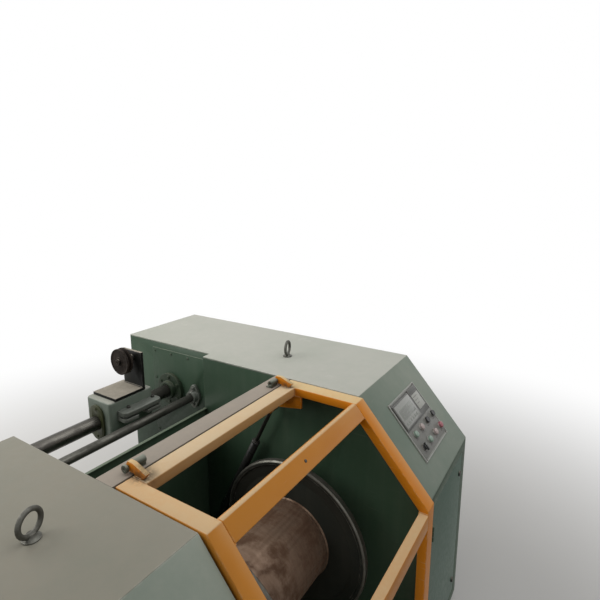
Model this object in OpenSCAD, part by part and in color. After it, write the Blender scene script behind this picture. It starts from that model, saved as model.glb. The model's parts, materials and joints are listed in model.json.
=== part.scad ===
// Take-up block of a wire drawing machine: two sheet-metal housings, a spool bay
// between them under a hinged open guard frame, and a rear wire guide on two shafts.
// Millimetres. X runs along the spool axis, -Y is the operator's side, Z is up.
// The origin is on the floor under the middle of the machine.

/* [Housings] */
// Height of the top plates above the floor
case_h = 1140; // [1120:5:1180]
// Height of the edge between the upright front and the slope
knee_h = 825; // [800:5:850]
// Depth of the slope, from the front back to the top plate
slope_run = 275; // [255:5:295]
// Width of the left housing
left_w = 400; // [380:10:440]
// Depth of the left housing and of the spool bay
left_d = 1030; // [1020:5:1050]
// Clear width of the spool bay
bay_w = 800; // [790:5:830]
// Width of the right housing
right_w = 500; // [480:10:540]
// Depth of the right housing
right_d = 1575; // [1560:5:1620]
// Setback of the right housing's rear half from the bay wall
recess = 44; // [30:2:60]
// Thickness of the top plates
top_t = 6; // [4:1:8]
// Thickness of the slope covers
skin_t = 4; // [3:1:6]
// Thickness of the door leaves and end covers
leaf_t = 18; // [12:1:22]
// Gap around each door leaf
leaf_gap = 3; // [2:0.5:4]
// Border of housing around each door leaf
leaf_border = 45; // [35:5:60]
// Height of the base frame
base_h = 60; // [50:5:80]
// Setback of the base frame under the housings
base_inset = 20; // [10:5:30]
// Width of the base frame's beams
beam_w = 80; // [60:5:100]
// Clearance of the holes in the walls around a spindle or shaft
hole_play = 4; // [3:0.5:6]
// Radius of the door locks and cover screws
lock_r = 11; // [8:0.5:13]
// How far the locks and cover screws stand off
lock_out = 6; // [4:0.5:8]
// Distance of the locks and cover screws from the edge of their leaf
lock_in = 40; // [30:2:60]
// Distance of the left lifting eye from the front of the machine
left_eye_y = 560; // [520:5:600]
// Distance of the right lifting eye from the front of the machine
right_eye_y = 717; // [680:5:760]
// Distance of the right lifting eye from its housing's middle towards the bay
right_eye_x = 45; // [30:5:60]
// Turn of the lifting eyes about the upright
eye_turn = 15; // [0:1:30]

/* [Bay] */
// Height of the bay's back panel above the floor
back_h = 900; // [860:5:930]
// Thickness of the back panel and bay floor sheet
sheet_t = 4; // [3:1:6]
// Width of the folded edge along the top of the back panel
back_fold = 14; // [10:1:20]
// Depth of the hinge beam, front to back
hinge_beam_d = 68; // [60:2:76]
// Height of the hinge beam
hinge_beam_h = 50; // [40:2:54]

/* [Guard frame] */
// Distance from the front of the machine to the guard's rear edge
guard_reach = 562; // [550:2:580]
// Gap between the guard and what it closes against
guard_gap = 5; // [5:0.5:8]
// How far the guard's slope and front stand proud of the housings
guard_proud = 14; // [8:1:18]
// Width of the guard's left arch
left_arch_w = 50; // [45:1:60]
// Width of the guard's right arch
right_arch_w = 58; // [56:1:74]
// Depth of the guard's tubes
arch_t = 32; // [28:1:40]
// Width of the rear rail
rail_w = 56; // [50:2:70]
// Height of the rear rail
rail_t = 33; // [28:1:38]
// Width of the crest bar and the front bars
bar_w = 56; // [50:1:72]
// Depth of the crest bar's level top
crest_flat = 11; // [6:1:16]
// Height of the guard's lowest edge above the floor
guard_foot = 75; // [70:5:110]

/* [Hinges and strut] */
// Outer radius of the hinge barrels
knuckle_r = 11; // [10.5:0.5:13]
// Length of a hinge barrel
barrel_l = 38; // [32:1:46]
// Thickness of the hinge straps
strap_t = 14; // [10:1:16]
// Height of the straps over the hinge axis
strap_rise = 18; // [14:1:20]
// Distance of the straps' front ends before the hinge axis
strap_reach = 70; // [60:1:76]
// Radius of the hinge pins
hinge_pin_r = 5.5; // [5:0.5:6]
// Running clearance on the radius of pins and shafts
running = 0.05; // [0.03:0.01:0.08]
// Side gap between knuckles, eyes and other joined pieces
side_gap = 1; // [0.5:0.5:1.5]
// Distance from each end of the bay to a hinge strap
hinge_in = 60; // [56:1:72]
// Distance of the strut's upper pin behind the hinge axis
lever_back = 44; // [38:1:48]
// Distance of the strut's upper pin below the hinge axis
lever_drop = 132; // [128:1:142]
// Thickness of the lever plate
lever_t = 10; // [8:1:12]
// How far the lever plate reaches forward under the arch
lever_reach = 82; // [70:2:100]
// Depth of the lever plate's front end
lever_lip = 46; // [36:1:52]
// Thickness of the pressed boss around the lever's hole
boss_t = 5; // [3:0.5:6]
// Distance of the strut's foot pin from the front
strut_foot_y = 985; // [965:5:990]
// Height of the strut's foot pin above the floor
strut_foot_z = 300; // [280:5:320]
// Distance from the bay wall to the middle of the strut
strut_in = 33; // [32:0.5:34]
// Outer radius of the strut's cylinder
strut_r = 17; // [14:1:22]
// Radius of the strut's rod
strut_rod_r = 8; // [6:0.5:9]
// Length of rod that shows with the guard closed
rod_show = 200; // [180:5:215]
// Width of the strut's eyes
eye_w = 24; // [20:1:26]
// Radius of the strut's pins
strut_pin_r = 8; // [6:0.5:9]
// Wall of the strut's eyes around their pins
eye_wall = 10; // [8:0.5:12]
// Side of the square plate that holds the strut's foot
foot_plate = 72; // [60:2:78]

/* [Spool] */
// Radius of the spool's flanges
spool_r = 315; // [300:5:320]
// Overall width of the spool
spool_w = 484; // [474:5:494]
// Radius of the spool's barrel
barrel_r = 160; // [140:5:170]
// Thickness of a spool flange at its rim
flange_t = 26; // [22:1:32]
// Chamfer on the inner edge of a flange's rim
rim_chamfer = 5; // [2:0.5:7]
// Width of the raised rim on a flange's inner face
rim_w = 16; // [12:1:20]
// Depth of a flange's inner face below its rim
dish = 7; // [5:1:10]
// Radius of the spool's centre bore
spool_bore_r = 40; // [36:1:44]
// Distance from the front of the machine to the spool axis
spool_y = 502; // [495:1:510]
// Height of the spool axis above the floor
spool_z = 531; // [525:1:540]
// Gap from the spool to the right bay wall
spool_gap = 76; // [70:1:84]
// Radius of the spindle journals
spindle_r = 50; // [45:1:55]
// Radius of the catch plate that drives the spool
catch_r = 110; // [100:5:120]
// Thickness of the catch plate
catch_t = 18; // [14:1:22]
// Length of the cones that centre the spool
nose_l = 60; // [45:5:80]
// Length of the drive spindle inside the right housing
spindle_in = 60; // [40:5:80]
// Radius of the flanges around both spindles
wall_flange_r = 150; // [140:5:160]
// Thickness of the flanges around both spindles
wall_flange_t = 20; // [16:1:24]
// Radius of the quill that carries the spool's left end
quill_r = 70; // [64:1:76]

/* [Rear wire guide] */
// Radius of the thick guide shaft
guide_r = 30; // [26:1:32]
// Radius of the thin traverse shaft
screw_r = 18; // [15:1:20]
// Distance of both shafts below the top plates
shaft_down = 222; // [215:1:230]
// Distance of the thin shaft behind the left housing
screw_back = 95; // [90:1:105]
// Distance from the thin shaft back to the thick one
shaft_pitch = 157; // [150:1:165]
// Length of both shafts behind the left housing
shaft_overhang = 100; // [90:5:120]
// Radius of the flange that holds the thick shaft
guide_flange_r = 78; // [70:1:84]
// Thickness of the flange that holds the thick shaft
guide_flange_t = 18; // [14:1:22]
// Length of the hubs of the flange and of the flange bearing
hub_l = 20; // [16:1:26]
// Wall of those hubs around their shafts
hub_wall = 14; // [10:1:16]
// Thickness of the flange bearing's foot
bearing_t = 14; // [10:1:18]
// Distance from the thin shaft to a bolt of its flange bearing
bearing_bolt = 40; // [38:1:46]
// Thickness of the plate on the recessed wall
cover_t = 5; // [4:0.5:8]
// Distance from the shafts down to the plate's lower edge
cover_below = 260; // [200:10:300]
// Distance from the plate's upper edge to the top of the housing
cover_short = 33; // [26:1:40]
// Thickness of the stand at the shafts' free end
stand_t = 30; // [24:1:40]
// Wall of the stand around the shafts
stand_wall = 20; // [16:1:26]
// Distance of the carriage from the left end of the bay
carriage_x = 438; // [418:5:458]
// Length of the carriage along the shafts
carriage_l = 214; // [196:2:220]
// Depth of the carriage
carriage_d = 155; // [140:5:165]
// Height of the carriage's top above the shafts
carriage_up = 99; // [94:1:110]
// Distance of the carriage's underside below the shafts
carriage_down = 68; // [60:1:75]
// Rounding of the carriage's upright edges
carriage_round = 14; // [10:2:28]
// Distance of the thick shaft behind the carriage's middle
carriage_off = 8; // [0:1:12]
// Wall of the carriage's bushes
bush_t = 6; // [4:0.5:8]
// Length of a bush inside the carriage
bush_l = 60; // [40:5:80]
// Thickness of a bush's oval flange
disc_t = 8; // [6:1:10]
// Radius of the oval flange's rounded ends
bush_r = 45; // [40:1:50]
// Distance from the shaft up or down to the oval flange's ends
bush_reach = 76; // [70:1:80]
// Height of the split lug
clamp_h = 42; // [36:2:50]
// Height of the split lug's underside above the shafts
clamp_up = 16; // [15:1:28]
// Thickness of the lug's lower plate
clamp_low = 15; // [8:1:20]
// Width of the lug's split
slit_w = 8; // [4:1:10]
// Rounding of the lug's front corners
clamp_round = 20; // [10:1:26]
// Width of the opening in the lug's lower plate
clamp_open = 46; // [36:2:56]
// Length of the pulley bracket
bracket_l = 150; // [130:5:160]
// Thickness of the pulley bracket
bracket_t = 12; // [8:1:14]
// Distance of the pulley bracket from the carriage's left end
bracket_in = 27; // [18:1:36]
// Depth of the bracket's upright, front to back
upright_w = 122; // [112:2:134]
// Height of the pulley bracket's upright
bracket_h = 168; // [155:1:175]
// Radius of the guide pulley
pulley_r = 56; // [50:1:60]
// Width of the guide pulley
pulley_w = 30; // [26:1:38]
// Radius at the bottom of the pulley's groove
groove_r = 36; // [30:1:42]
// Radius of the pulley's pin
pulley_pin_r = 10; // [8:0.5:12]
// Distance of the pulley's pin below the bracket's upper edge
pulley_down = 33; // [28:1:40]
// Gap from the pulley to the bracket's upright
pulley_gap = 35; // [28:1:40]
// Distance from the bracket's front edge back to the pulley's axis
pulley_back = 60; // [58:1:72]

/* [Controls] */
// Width of the control plate
panel_w = 266; // [250:2:280]
// Height of the control plate along the slope
panel_l = 240; // [230:2:250]
// Distance from the crest down the slope to the control plate
panel_down = 96; // [85:1:105]
// Thickness of the control plate
panel_t = 4; // [3:0.5:5]
// Width of the screen unit
display_w = 156; // [140:2:162]
// Height of the screen unit along the slope
display_l = 100; // [90:2:110]
// Thickness of the screen unit
display_t = 8; // [6:1:12]
// Distance of the screen unit from the plate's left edge
display_in = 8; // [4:1:14]
// Distance of the screen unit from the plate's upper edge
display_down = 14; // [10:1:20]
// Paint and air under the control plate
panel_seat = 0.05; // [0.02:0.01:0.2]
// Radius of the push-button collars
button_r = 13; // [11:0.5:15]
// Height of the push-buttons over the plate
button_h = 14; // [10:1:18]
// Distance of the first button from the plate's left edge
button_in = 43; // [38:1:50]
// Distance from one button to the next in a row
button_pitch = 67; // [58:1:68]
// Distance of the first row of buttons from the plate's upper edge
row_down = 144; // [140:1:156]
// Distance from the first row of buttons to the second
row_pitch = 54; // [48:1:62]

/* [Hidden] */
$fn = 64;

// Places along X
total_w = left_w + bay_w + right_w;
left_x0 = -total_w / 2;
bay_x0 = left_x0 + left_w;
bay_x1 = bay_x0 + bay_w;
right_x1 = total_w / 2;
recess_x = bay_x1 + recess;
right_mid = (bay_x1 + right_x1) / 2;
left_mid = (left_x0 + bay_x0) / 2;

// Places along Y, counted from the front of the machine
front_y = -right_d / 2;
step_y = front_y + left_d;
rear_y = front_y + right_d;

// The slope of the front: its steepness, length and angle
slope_rise = case_h - knee_h;
slope_m = slope_rise / slope_run;
slope_len = sqrt(slope_run * slope_run + slope_rise * slope_rise);
slope_a = atan(slope_m);
slope_q = slope_len / slope_run;

// Guard and hinge
beam_y0 = front_y + guard_reach + guard_gap;
guard_x0 = bay_x0 + guard_gap;
guard_x1 = bay_x1 - guard_gap;
inner_x0 = guard_x0 + left_arch_w;
inner_x1 = guard_x1 - right_arch_w;
hinge_y = beam_y0 + knuckle_r + guard_gap;
hinge_z = case_h + knuckle_r + guard_gap;
strap_x = [[bay_x0 + hinge_in, bay_x0 + hinge_in + strap_t],
           [bay_x1 - hinge_in - strap_t, bay_x1 - hinge_in]];
barrel_x = [[strap_x[0][1] + side_gap, strap_x[0][1] + side_gap + barrel_l],
            [strap_x[1][0] - side_gap - barrel_l, strap_x[1][0] - side_gap]];

// The guard's front plane, the depth of its inner faces and its crest
guard_y0 = front_y - guard_proud;
guard_in = arch_t - guard_proud;
crest_y = front_y + slope_y(case_h, -guard_proud);

// Strut
strut_x = bay_x1 - strut_in;
eye_x0 = strut_x - eye_w / 2;
eye_x1 = strut_x + eye_w / 2;
eye_r = strut_pin_r + eye_wall;
top_pin_y = hinge_y + lever_back;
top_pin_z = hinge_z - lever_drop;
foot_pin_y = front_y + strut_foot_y;
foot_pin_z = strut_foot_z;
strut_dy = top_pin_y - foot_pin_y;
strut_dz = top_pin_z - foot_pin_z;
strut_l = sqrt(strut_dy * strut_dy + strut_dz * strut_dz);
strut_lean = atan2(-strut_dy, strut_dz);
cylinder_end = strut_l - rod_show;
lever_x1 = eye_x0 - 2 * side_gap - boss_t;
lever_x0 = lever_x1 - lever_t;

// Spool, its spindles and their housings
axis_y = front_y + spool_y;
spool_x1 = bay_x1 - spool_gap;
spool_x0 = spool_x1 - spool_w;
nose_r1 = spool_bore_r - 0.3;
nose_r2 = spool_bore_r - 12;
collar_t = 20;
quill_x1 = spool_x0 - 3 * collar_t;
quill_bore_x = bay_x0 + wall_flange_t + 18;

// Rear wire guide
shaft_z = case_h - shaft_down;
screw_y = step_y + screw_back;
guide_y = screw_y + shaft_pitch;
shaft_x0 = bay_x0 - shaft_overhang;
cover_x = recess_x - cover_t;
flange_x = cover_x - guide_flange_t;
stand_x1 = shaft_x0 + stand_t;
car_x0 = bay_x0 + carriage_x;
car_x1 = car_x0 + carriage_l;
car_y0 = guide_y - carriage_d / 2 - carriage_off;
car_y1 = car_y0 + carriage_d;
car_top = shaft_z + carriage_up;
bracket_x0 = car_x0 + bracket_in;
bracket_x1 = bracket_x0 + bracket_l;
bracket_y0 = car_y0 - 1;
bracket_y1 = car_y1 - 11;
upright_x = bracket_x1 - bracket_t;
pulley_y = bracket_y0 + pulley_back;
pulley_z = car_top + bracket_h - pulley_down;
pulley_x1 = upright_x - pulley_gap;
pulley_x0 = pulley_x1 - pulley_w;

// A box from one corner to the opposite one
module block(a, b) {
  translate(a) cube(b - a);
}

// An outline in the YZ plane drawn out along X
module prism_x(x0, x1, outline) {
  translate([x0, 0, 0]) rotate([90, 0, 90]) linear_extrude(x1 - x0) polygon(outline);
}

// A round bar along X
module bar_x(x0, x1, y, z, r) {
  translate([x0, y, z]) rotate([0, 90, 0]) cylinder(r = r, h = x1 - x0);
}

// A place on the slope, s down from the crest, with Z out of the slope and Y up it
module on_slope(x, s) {
  translate([x, front_y + slope_run - s * cos(slope_a), case_h - s * sin(slope_a)])
    rotate([slope_a, 0, 0]) children();
}

// Height of the slope's line, sunk by t, at distance y behind the front
function slope_z(y, t) = knee_h - t * slope_q + y * slope_m;

// Distance behind the front where the slope's line, sunk by t, reaches height z
function slope_y(z, t) = (z - knee_h + t * slope_q) / slope_m;

// Outline of a housing under its covers
function case_outline(d) = [
  [front_y, base_h],
  [front_y + d, base_h],
  [front_y + d, case_h - top_t],
  [front_y + slope_y(case_h - top_t, skin_t), case_h - top_t],
  [front_y, slope_z(0, skin_t)]
];

// Outline of a slope cover: it meets the top plate on a mitre
slope_outline = [
  [front_y, knee_h],
  [front_y + slope_run, case_h],
  [front_y + slope_y(case_h - top_t, skin_t), case_h - top_t],
  [front_y, slope_z(0, skin_t)]
];

// Outline of a top plate of depth d
function top_outline(d) = [
  [front_y + slope_run, case_h],
  [front_y + d, case_h],
  [front_y + d, case_h - top_t],
  [front_y + slope_y(case_h - top_t, skin_t), case_h - top_t]
];

// Outline of a guard arch: along the top, down the slope and down the front
arch_outline = [
  [front_y + guard_reach, case_h],
  [crest_y, case_h],
  [guard_y0, slope_z(-guard_proud, -guard_proud)],
  [guard_y0, guard_foot],
  [guard_y0 + arch_t, guard_foot],
  [guard_y0 + arch_t, slope_z(guard_in, guard_in)],
  [front_y + slope_y(case_h - arch_t, guard_in), case_h - arch_t],
  [front_y + guard_reach, case_h - arch_t]
];

// The YZ point d inward from p, square to the slope
function inward(p, d) = [p[0] + d * sin(slope_a), p[1] - d * cos(slope_a)];

// The YZ point s down the slope from p
function downward(p, s) = [p[0] - s * cos(slope_a), p[1] - s * sin(slope_a)];

// Space of a front door between x0 and x1, shrunk by g
module front_leaf(x0, x1, g) {
  block([x0 + leaf_border + g, front_y, base_h + leaf_border + g],
        [x1 - leaf_border - g, front_y + leaf_t, knee_h - leaf_border - g]);
}

// Space of the right housing's rear door, shrunk by g
module rear_leaf(g) {
  block([recess_x + leaf_border + g, rear_y - leaf_t, base_h + leaf_border + g],
        [right_x1 - leaf_border - g, rear_y, case_h - 2 * leaf_border - g]);
}

// Space of an end cover, from x0 to x1, on a housing of depth d, shrunk by g
module end_leaf(x0, x1, d, g) {
  block([x0, front_y + slope_run + g, base_h + leaf_border + g],
        [x1, front_y + d - 2 * leaf_border - g, case_h - 2 * leaf_border - g]);
}

module left_case() {
  color("darkseagreen") difference() {
    prism_x(left_x0, bay_x0, case_outline(left_d));
    front_leaf(left_x0, bay_x0, 0);
    end_leaf(left_x0, left_x0 + leaf_t, left_d, 0);
  }
}

module left_top() {
  color("gainsboro") prism_x(left_x0, bay_x0, top_outline(left_d));
}

module right_case() {
  color("darkseagreen") difference() {
    prism_x(bay_x1, right_x1, case_outline(left_d));
    front_leaf(bay_x1, right_x1, 0);
    end_leaf(right_x1 - leaf_t, right_x1, right_d, 0);
    bar_x(bay_x1 - 1, bay_x1 + spindle_in + hole_play, axis_y, spool_z, spindle_r + hole_play);
  }
}

// Rear half of the right housing, set back from the bay wall
module rear_case() {
  color("darkseagreen") difference() {
    block([recess_x, step_y, base_h], [right_x1, rear_y, case_h - top_t]);
    rear_leaf(0);
    end_leaf(right_x1 - leaf_t, right_x1, right_d, 0);
    bar_x(recess_x - 1, recess_x + spindle_in + hole_play, screw_y, shaft_z, screw_r + hole_play);
  }
}

module right_top() {
  color("gainsboro") {
    prism_x(bay_x1, right_x1, top_outline(left_d));
    block([recess_x, step_y, case_h - top_t], [right_x1, rear_y, case_h]);
  }
}

module slope_covers() {
  color("cadetblue") {
    prism_x(left_x0, bay_x0, slope_outline);
    prism_x(bay_x1, right_x1, slope_outline);
  }
}

module front_doors() {
  color("cadetblue") {
    front_leaf(left_x0, bay_x0, leaf_gap);
    front_leaf(bay_x1, right_x1, leaf_gap);
  }
}

module end_covers() {
  color("seagreen") {
    end_leaf(left_x0, left_x0 + leaf_t, left_d, leaf_gap);
    end_leaf(right_x1 - leaf_t, right_x1, right_d, leaf_gap);
  }
}

module rear_door() {
  color("seagreen") rear_leaf(leaf_gap);
}

// Plate on the recessed wall that carries both shaft flanges
module drive_cover() {
  color("seagreen") difference() {
    block([cover_x, step_y + 10, shaft_z - cover_below],
          [recess_x, guide_y + guide_flange_r + leaf_border, case_h - cover_short]);
    bar_x(cover_x - 1, recess_x + 1, screw_y, shaft_z, screw_r + hole_play);
  }
}

// Ladder frame under both housings and across the bay
module base_frame() {
  y0 = front_y + base_inset;
  color("darkslategray") difference() {
    union() {
      block([left_x0 + base_inset, y0, 0], [right_x1 - base_inset, step_y - base_inset, base_h]);
      block([recess_x + base_inset, y0, 0], [right_x1 - base_inset, rear_y - base_inset, base_h]);
    }
    for (span = [[left_x0 + base_inset, bay_x0, step_y - base_inset],
                 [bay_x0, bay_x1 + beam_w / 2, step_y - base_inset],
                 [recess_x + beam_w / 2, right_x1 - base_inset, rear_y - base_inset]])
      block([span[0] + beam_w, y0 + beam_w, -1], [span[1] - beam_w / 2, span[2] - beam_w, base_h + 1]);
  }
}

module bay_floor() {
  color("seagreen")
    block([bay_x0, front_y + base_inset, base_h], [bay_x1, step_y - sheet_t, base_h + sheet_t]);
}

module back_panel() {
  color("darkgreen") prism_x(bay_x0, bay_x1, [
    [step_y, base_h],
    [step_y, back_h],
    [step_y - back_fold, back_h],
    [step_y - back_fold, back_h - sheet_t],
    [step_y - sheet_t, back_h - sheet_t],
    [step_y - sheet_t, base_h]
  ]);
}

module hinge_beam() {
  color("silver")
    block([bay_x0, beam_y0, case_h - hinge_beam_h], [bay_x1, beam_y0 + hinge_beam_d, case_h]);
}

module control_plate() {
  color("lightgray") on_slope(right_mid, panel_down)
    translate([-panel_w / 2, -panel_l, panel_seat]) cube([panel_w, panel_l, panel_t]);
}

// Screen unit in the plate's upper left part
module display() {
  color("lightslategray") on_slope(right_mid, panel_down)
    translate([display_in - panel_w / 2, -display_down - display_l, panel_seat + panel_t])
      cube([display_w, display_l, display_t]);
}

// Push-buttons and selectors in two rows below the screen
module push_buttons() {
  color("black") on_slope(right_mid, panel_down)
    for (i = [0:3], row = [0, 1])
      translate([button_in + i * button_pitch - panel_w / 2, -row_down - row * row_pitch,
                 panel_seat + panel_t])
        cylinder(r = button_r, h = button_h);
}

module guard_rear_rail() {
  color("goldenrod")
    block([inner_x0, front_y + guard_reach - rail_w, case_h - rail_t],
          [inner_x1, front_y + guard_reach, case_h]);
}

module guard_left_arch() {
  color("goldenrod") prism_x(guard_x0, inner_x0, arch_outline);
}

module guard_right_arch() {
  color("goldenrod") prism_x(inner_x1, guard_x1, arch_outline);
}

// Bar just below the crest, square to the slope, with a narrow level top
module guard_crest_bar() {
  crest = [crest_y, case_h];
  back = [crest_y + crest_flat, case_h];
  low = downward(crest, bar_w);
  color("goldenrod") prism_x(inner_x0, inner_x1, [
    crest, back, inward(back, arch_t - crest_flat * sin(slope_a)), inward(low, arch_t), low
  ]);
}

// Bars across the upright front: one below the knee, one at the foot
module guard_front_bars() {
  color("goldenrod") for (z = [guard_foot, slope_z(guard_in, guard_in) - bar_w])
    block([inner_x0, guard_y0, z], [inner_x1, guard_y0 + arch_t, z + bar_w]);
}

// Plate under the right arch that the strut pushes on
module strut_lever() {
  under = case_h - arch_t;
  toe_y = front_y + guard_reach - lever_reach;
  heel_y = front_y + guard_reach - 4;
  skirt_z = case_h - hinge_beam_h - 2 * side_gap - 18;
  boss_r = eye_r - 4;
  color("darkorange") {
    difference() {
      prism_x(lever_x0, lever_x1, [
        [toe_y, under],
        [toe_y, under - lever_lip],
        [top_pin_y - 1.5 * eye_r, top_pin_z + eye_r],
        [top_pin_y - eye_r, top_pin_z - boss_r / 2],
        [top_pin_y - boss_r / 2, top_pin_z - eye_r],
        [top_pin_y + boss_r / 2, top_pin_z - eye_r],
        [top_pin_y + eye_r, top_pin_z - boss_r / 2],
        [top_pin_y + eye_r, top_pin_z + boss_r],
        [hinge_y - eye_r, skirt_z],
        [heel_y, skirt_z],
        [heel_y, under]
      ]);
      bar_x(lever_x0 - 1, lever_x1 + 1, top_pin_y, top_pin_z, strut_pin_r);
    }
    difference() {
      bar_x(lever_x1, lever_x1 + boss_t, top_pin_y, top_pin_z, boss_r);
      bar_x(lever_x1 - 1, lever_x1 + boss_t + 1, top_pin_y, top_pin_z, strut_pin_r);
    }
  }
}

// Fixed half of each hinge: a barrel with an open end on its saddle, and the pin
module hinge_lugs() {
  foot_t = guard_gap - side_gap;
  mouth = 6;
  saddle_y = hinge_y + knuckle_r + 7;
  open_x = [[barrel_x[0][1] - mouth, barrel_x[0][1] + 1], [barrel_x[1][0] - 1, barrel_x[1][0] + mouth]];
  pin_x = [[strap_x[0][0] - 3, barrel_x[0][0] + mouth], [barrel_x[1][1] - mouth, strap_x[1][1] + 3]];
  color("dimgray") for (i = [0, 1]) {
    difference() {
      union() {
        bar_x(barrel_x[i][0], barrel_x[i][1], hinge_y, hinge_z, knuckle_r);
        block([barrel_x[i][0], hinge_y - knuckle_r * 0.7, case_h],
              [barrel_x[i][1], hinge_y + knuckle_r * 0.7, hinge_z]);
        block([barrel_x[i][0], hinge_y, case_h], [barrel_x[i][1], saddle_y, case_h + foot_t]);
      }
      bar_x(open_x[i][0], open_x[i][1], hinge_y, hinge_z, hinge_pin_r);
    }
    bar_x(pin_x[i][0], pin_x[i][1], hinge_y, hinge_z, hinge_pin_r);
  }
}

// Moving half of each hinge: an upright strap on the guard with an eye around the pin
module hinge_straps() {
  heel_y = front_y + guard_reach - 3;
  low_z = hinge_z - knuckle_r + 1;
  color("gold") for (s = strap_x) difference() {
    union() {
      bar_x(s[0], s[1], hinge_y, hinge_z, knuckle_r);
      prism_x(s[0], s[1], [
        [hinge_y + knuckle_r / 2, hinge_z + knuckle_r * 0.8],
        [hinge_y, hinge_z + strap_rise],
        [hinge_y - 20, hinge_z + strap_rise],
        [hinge_y - strap_reach, case_h + strap_rise - 2],
        [hinge_y - strap_reach + 12, case_h],
        [heel_y, case_h],
        [heel_y, low_z],
        [hinge_y - knuckle_r / 4, low_z],
        [hinge_y, hinge_z]
      ]);
    }
    bar_x(s[0] - 1, s[1] + 1, hinge_y, hinge_z, hinge_pin_r + running);
  }
}

// A strut piece drawn upright from the foot pin, leant to its place
module along_strut() {
  translate([strut_x, foot_pin_y, foot_pin_z]) rotate([strut_lean, 0, 0]) children();
}

// Plate and pin on the bay wall that hold the strut's foot
module strut_bracket() {
  half = foot_plate / 2;
  color("dimgray") {
    block([bay_x1 - 8, foot_pin_y - half, foot_pin_z - half],
          [bay_x1, foot_pin_y + half, foot_pin_z + half]);
    bar_x(eye_x1 + side_gap, bay_x1, foot_pin_y, foot_pin_z, eye_r - 4);
    bar_x(eye_x0 - 4, bay_x1, foot_pin_y, foot_pin_z, strut_pin_r);
  }
}

module strut_cylinder() {
  neck_end = eye_r + 20;
  bore_start = neck_end + 20;
  color("black") difference() {
    union() {
      bar_x(eye_x0, eye_x1, foot_pin_y, foot_pin_z, eye_r);
      along_strut() rotate_extrude() polygon([
        [0, 4],
        [eye_r - 8, 4],
        [eye_r - 8, neck_end],
        [strut_r, neck_end],
        [strut_r, cylinder_end],
        [strut_rod_r + running, cylinder_end],
        [strut_rod_r + running, bore_start],
        [0, bore_start]
      ]);
    }
    bar_x(eye_x0 - 1, eye_x1 + 1, foot_pin_y, foot_pin_z, strut_pin_r + running);
  }
}

module strut_rod() {
  rod_start = eye_r + 60;
  rod_end = strut_l - strut_pin_r - 2;
  color("gray") difference() {
    union() {
      bar_x(eye_x0, eye_x1, top_pin_y, top_pin_z, eye_r);
      along_strut() translate([0, 0, rod_start]) cylinder(r = strut_rod_r, h = rod_end - rod_start);
    }
    bar_x(eye_x0 - 1, eye_x1 + 1, top_pin_y, top_pin_z, strut_pin_r);
  }
}

// Half outline of a spool flange, radius across and thickness up, inner face on top
flange_outline = [
  [spool_bore_r, 0],
  [spool_r, 0],
  [spool_r, flange_t - rim_chamfer],
  [spool_r - rim_chamfer, flange_t],
  [spool_r - rim_w, flange_t],
  [spool_r - rim_w - dish, flange_t - dish],
  [barrel_r, flange_t - dish],
  [spool_bore_r, flange_t - dish]
];

module spool_flanges() {
  color("darkslategray") {
    translate([spool_x0, axis_y, spool_z]) rotate([0, 90, 0]) rotate_extrude() polygon(flange_outline);
    translate([spool_x1, axis_y, spool_z]) rotate([0, -90, 0]) rotate_extrude() polygon(flange_outline);
  }
}

module spool_barrel() {
  color("rosybrown") difference() {
    bar_x(spool_x0 + flange_t - dish, spool_x1 - flange_t + dish, axis_y, spool_z, barrel_r);
    bar_x(spool_x0, spool_x1, axis_y, spool_z, spool_bore_r);
  }
}

// Spindle out of the right wall: journal, catch plate and nose in the spool's bore
module drive_spindle() {
  color("silver") {
    bar_x(spool_x1, spool_x1 + catch_t, axis_y, spool_z, catch_r);
    bar_x(spool_x1 + catch_t, bay_x1 + spindle_in, axis_y, spool_z, spindle_r);
    translate([spool_x1, axis_y, spool_z]) rotate([0, -90, 0])
      cylinder(r1 = nose_r1, r2 = nose_r2, h = nose_l);
  }
}

module drive_flange() {
  color("seagreen") difference() {
    bar_x(bay_x1 - wall_flange_t, bay_x1, axis_y, spool_z, wall_flange_r);
    bar_x(bay_x1 - wall_flange_t - 1, bay_x1 + 1, axis_y, spool_z, spindle_r + running);
  }
}

// Pintle that holds the spool's left end and turns in the quill
module tail_pintle() {
  color("silver") {
    bar_x(quill_bore_x + 2, spool_x0 - collar_t, axis_y, spool_z, spindle_r);
    bar_x(spool_x0 - collar_t, spool_x0, axis_y, spool_z, spindle_r + 15);
    translate([spool_x0, axis_y, spool_z]) rotate([0, 90, 0])
      cylinder(r1 = nose_r1, r2 = nose_r2, h = nose_l);
  }
}

module tail_quill() {
  color("seagreen") difference() {
    union() {
      bar_x(bay_x0, bay_x0 + wall_flange_t, axis_y, spool_z, wall_flange_r);
      bar_x(bay_x0, quill_x1, axis_y, spool_z, quill_r);
    }
    bar_x(quill_bore_x, quill_x1 + 1, axis_y, spool_z, spindle_r + running);
  }
}

module guide_shaft() {
  color("silver") bar_x(shaft_x0, cover_x, guide_y, shaft_z, guide_r);
}

module guide_flange() {
  color("seagreen") difference() {
    union() {
      bar_x(flange_x, cover_x, guide_y, shaft_z, guide_flange_r);
      bar_x(flange_x - hub_l, cover_x, guide_y, shaft_z, guide_r + hub_wall);
    }
    bar_x(flange_x - hub_l - 1, cover_x + 1, guide_y, shaft_z, guide_r + running);
  }
}

module traverse_shaft() {
  color("dimgray") bar_x(shaft_x0, recess_x + spindle_in, screw_y, shaft_z, screw_r);
}

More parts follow.
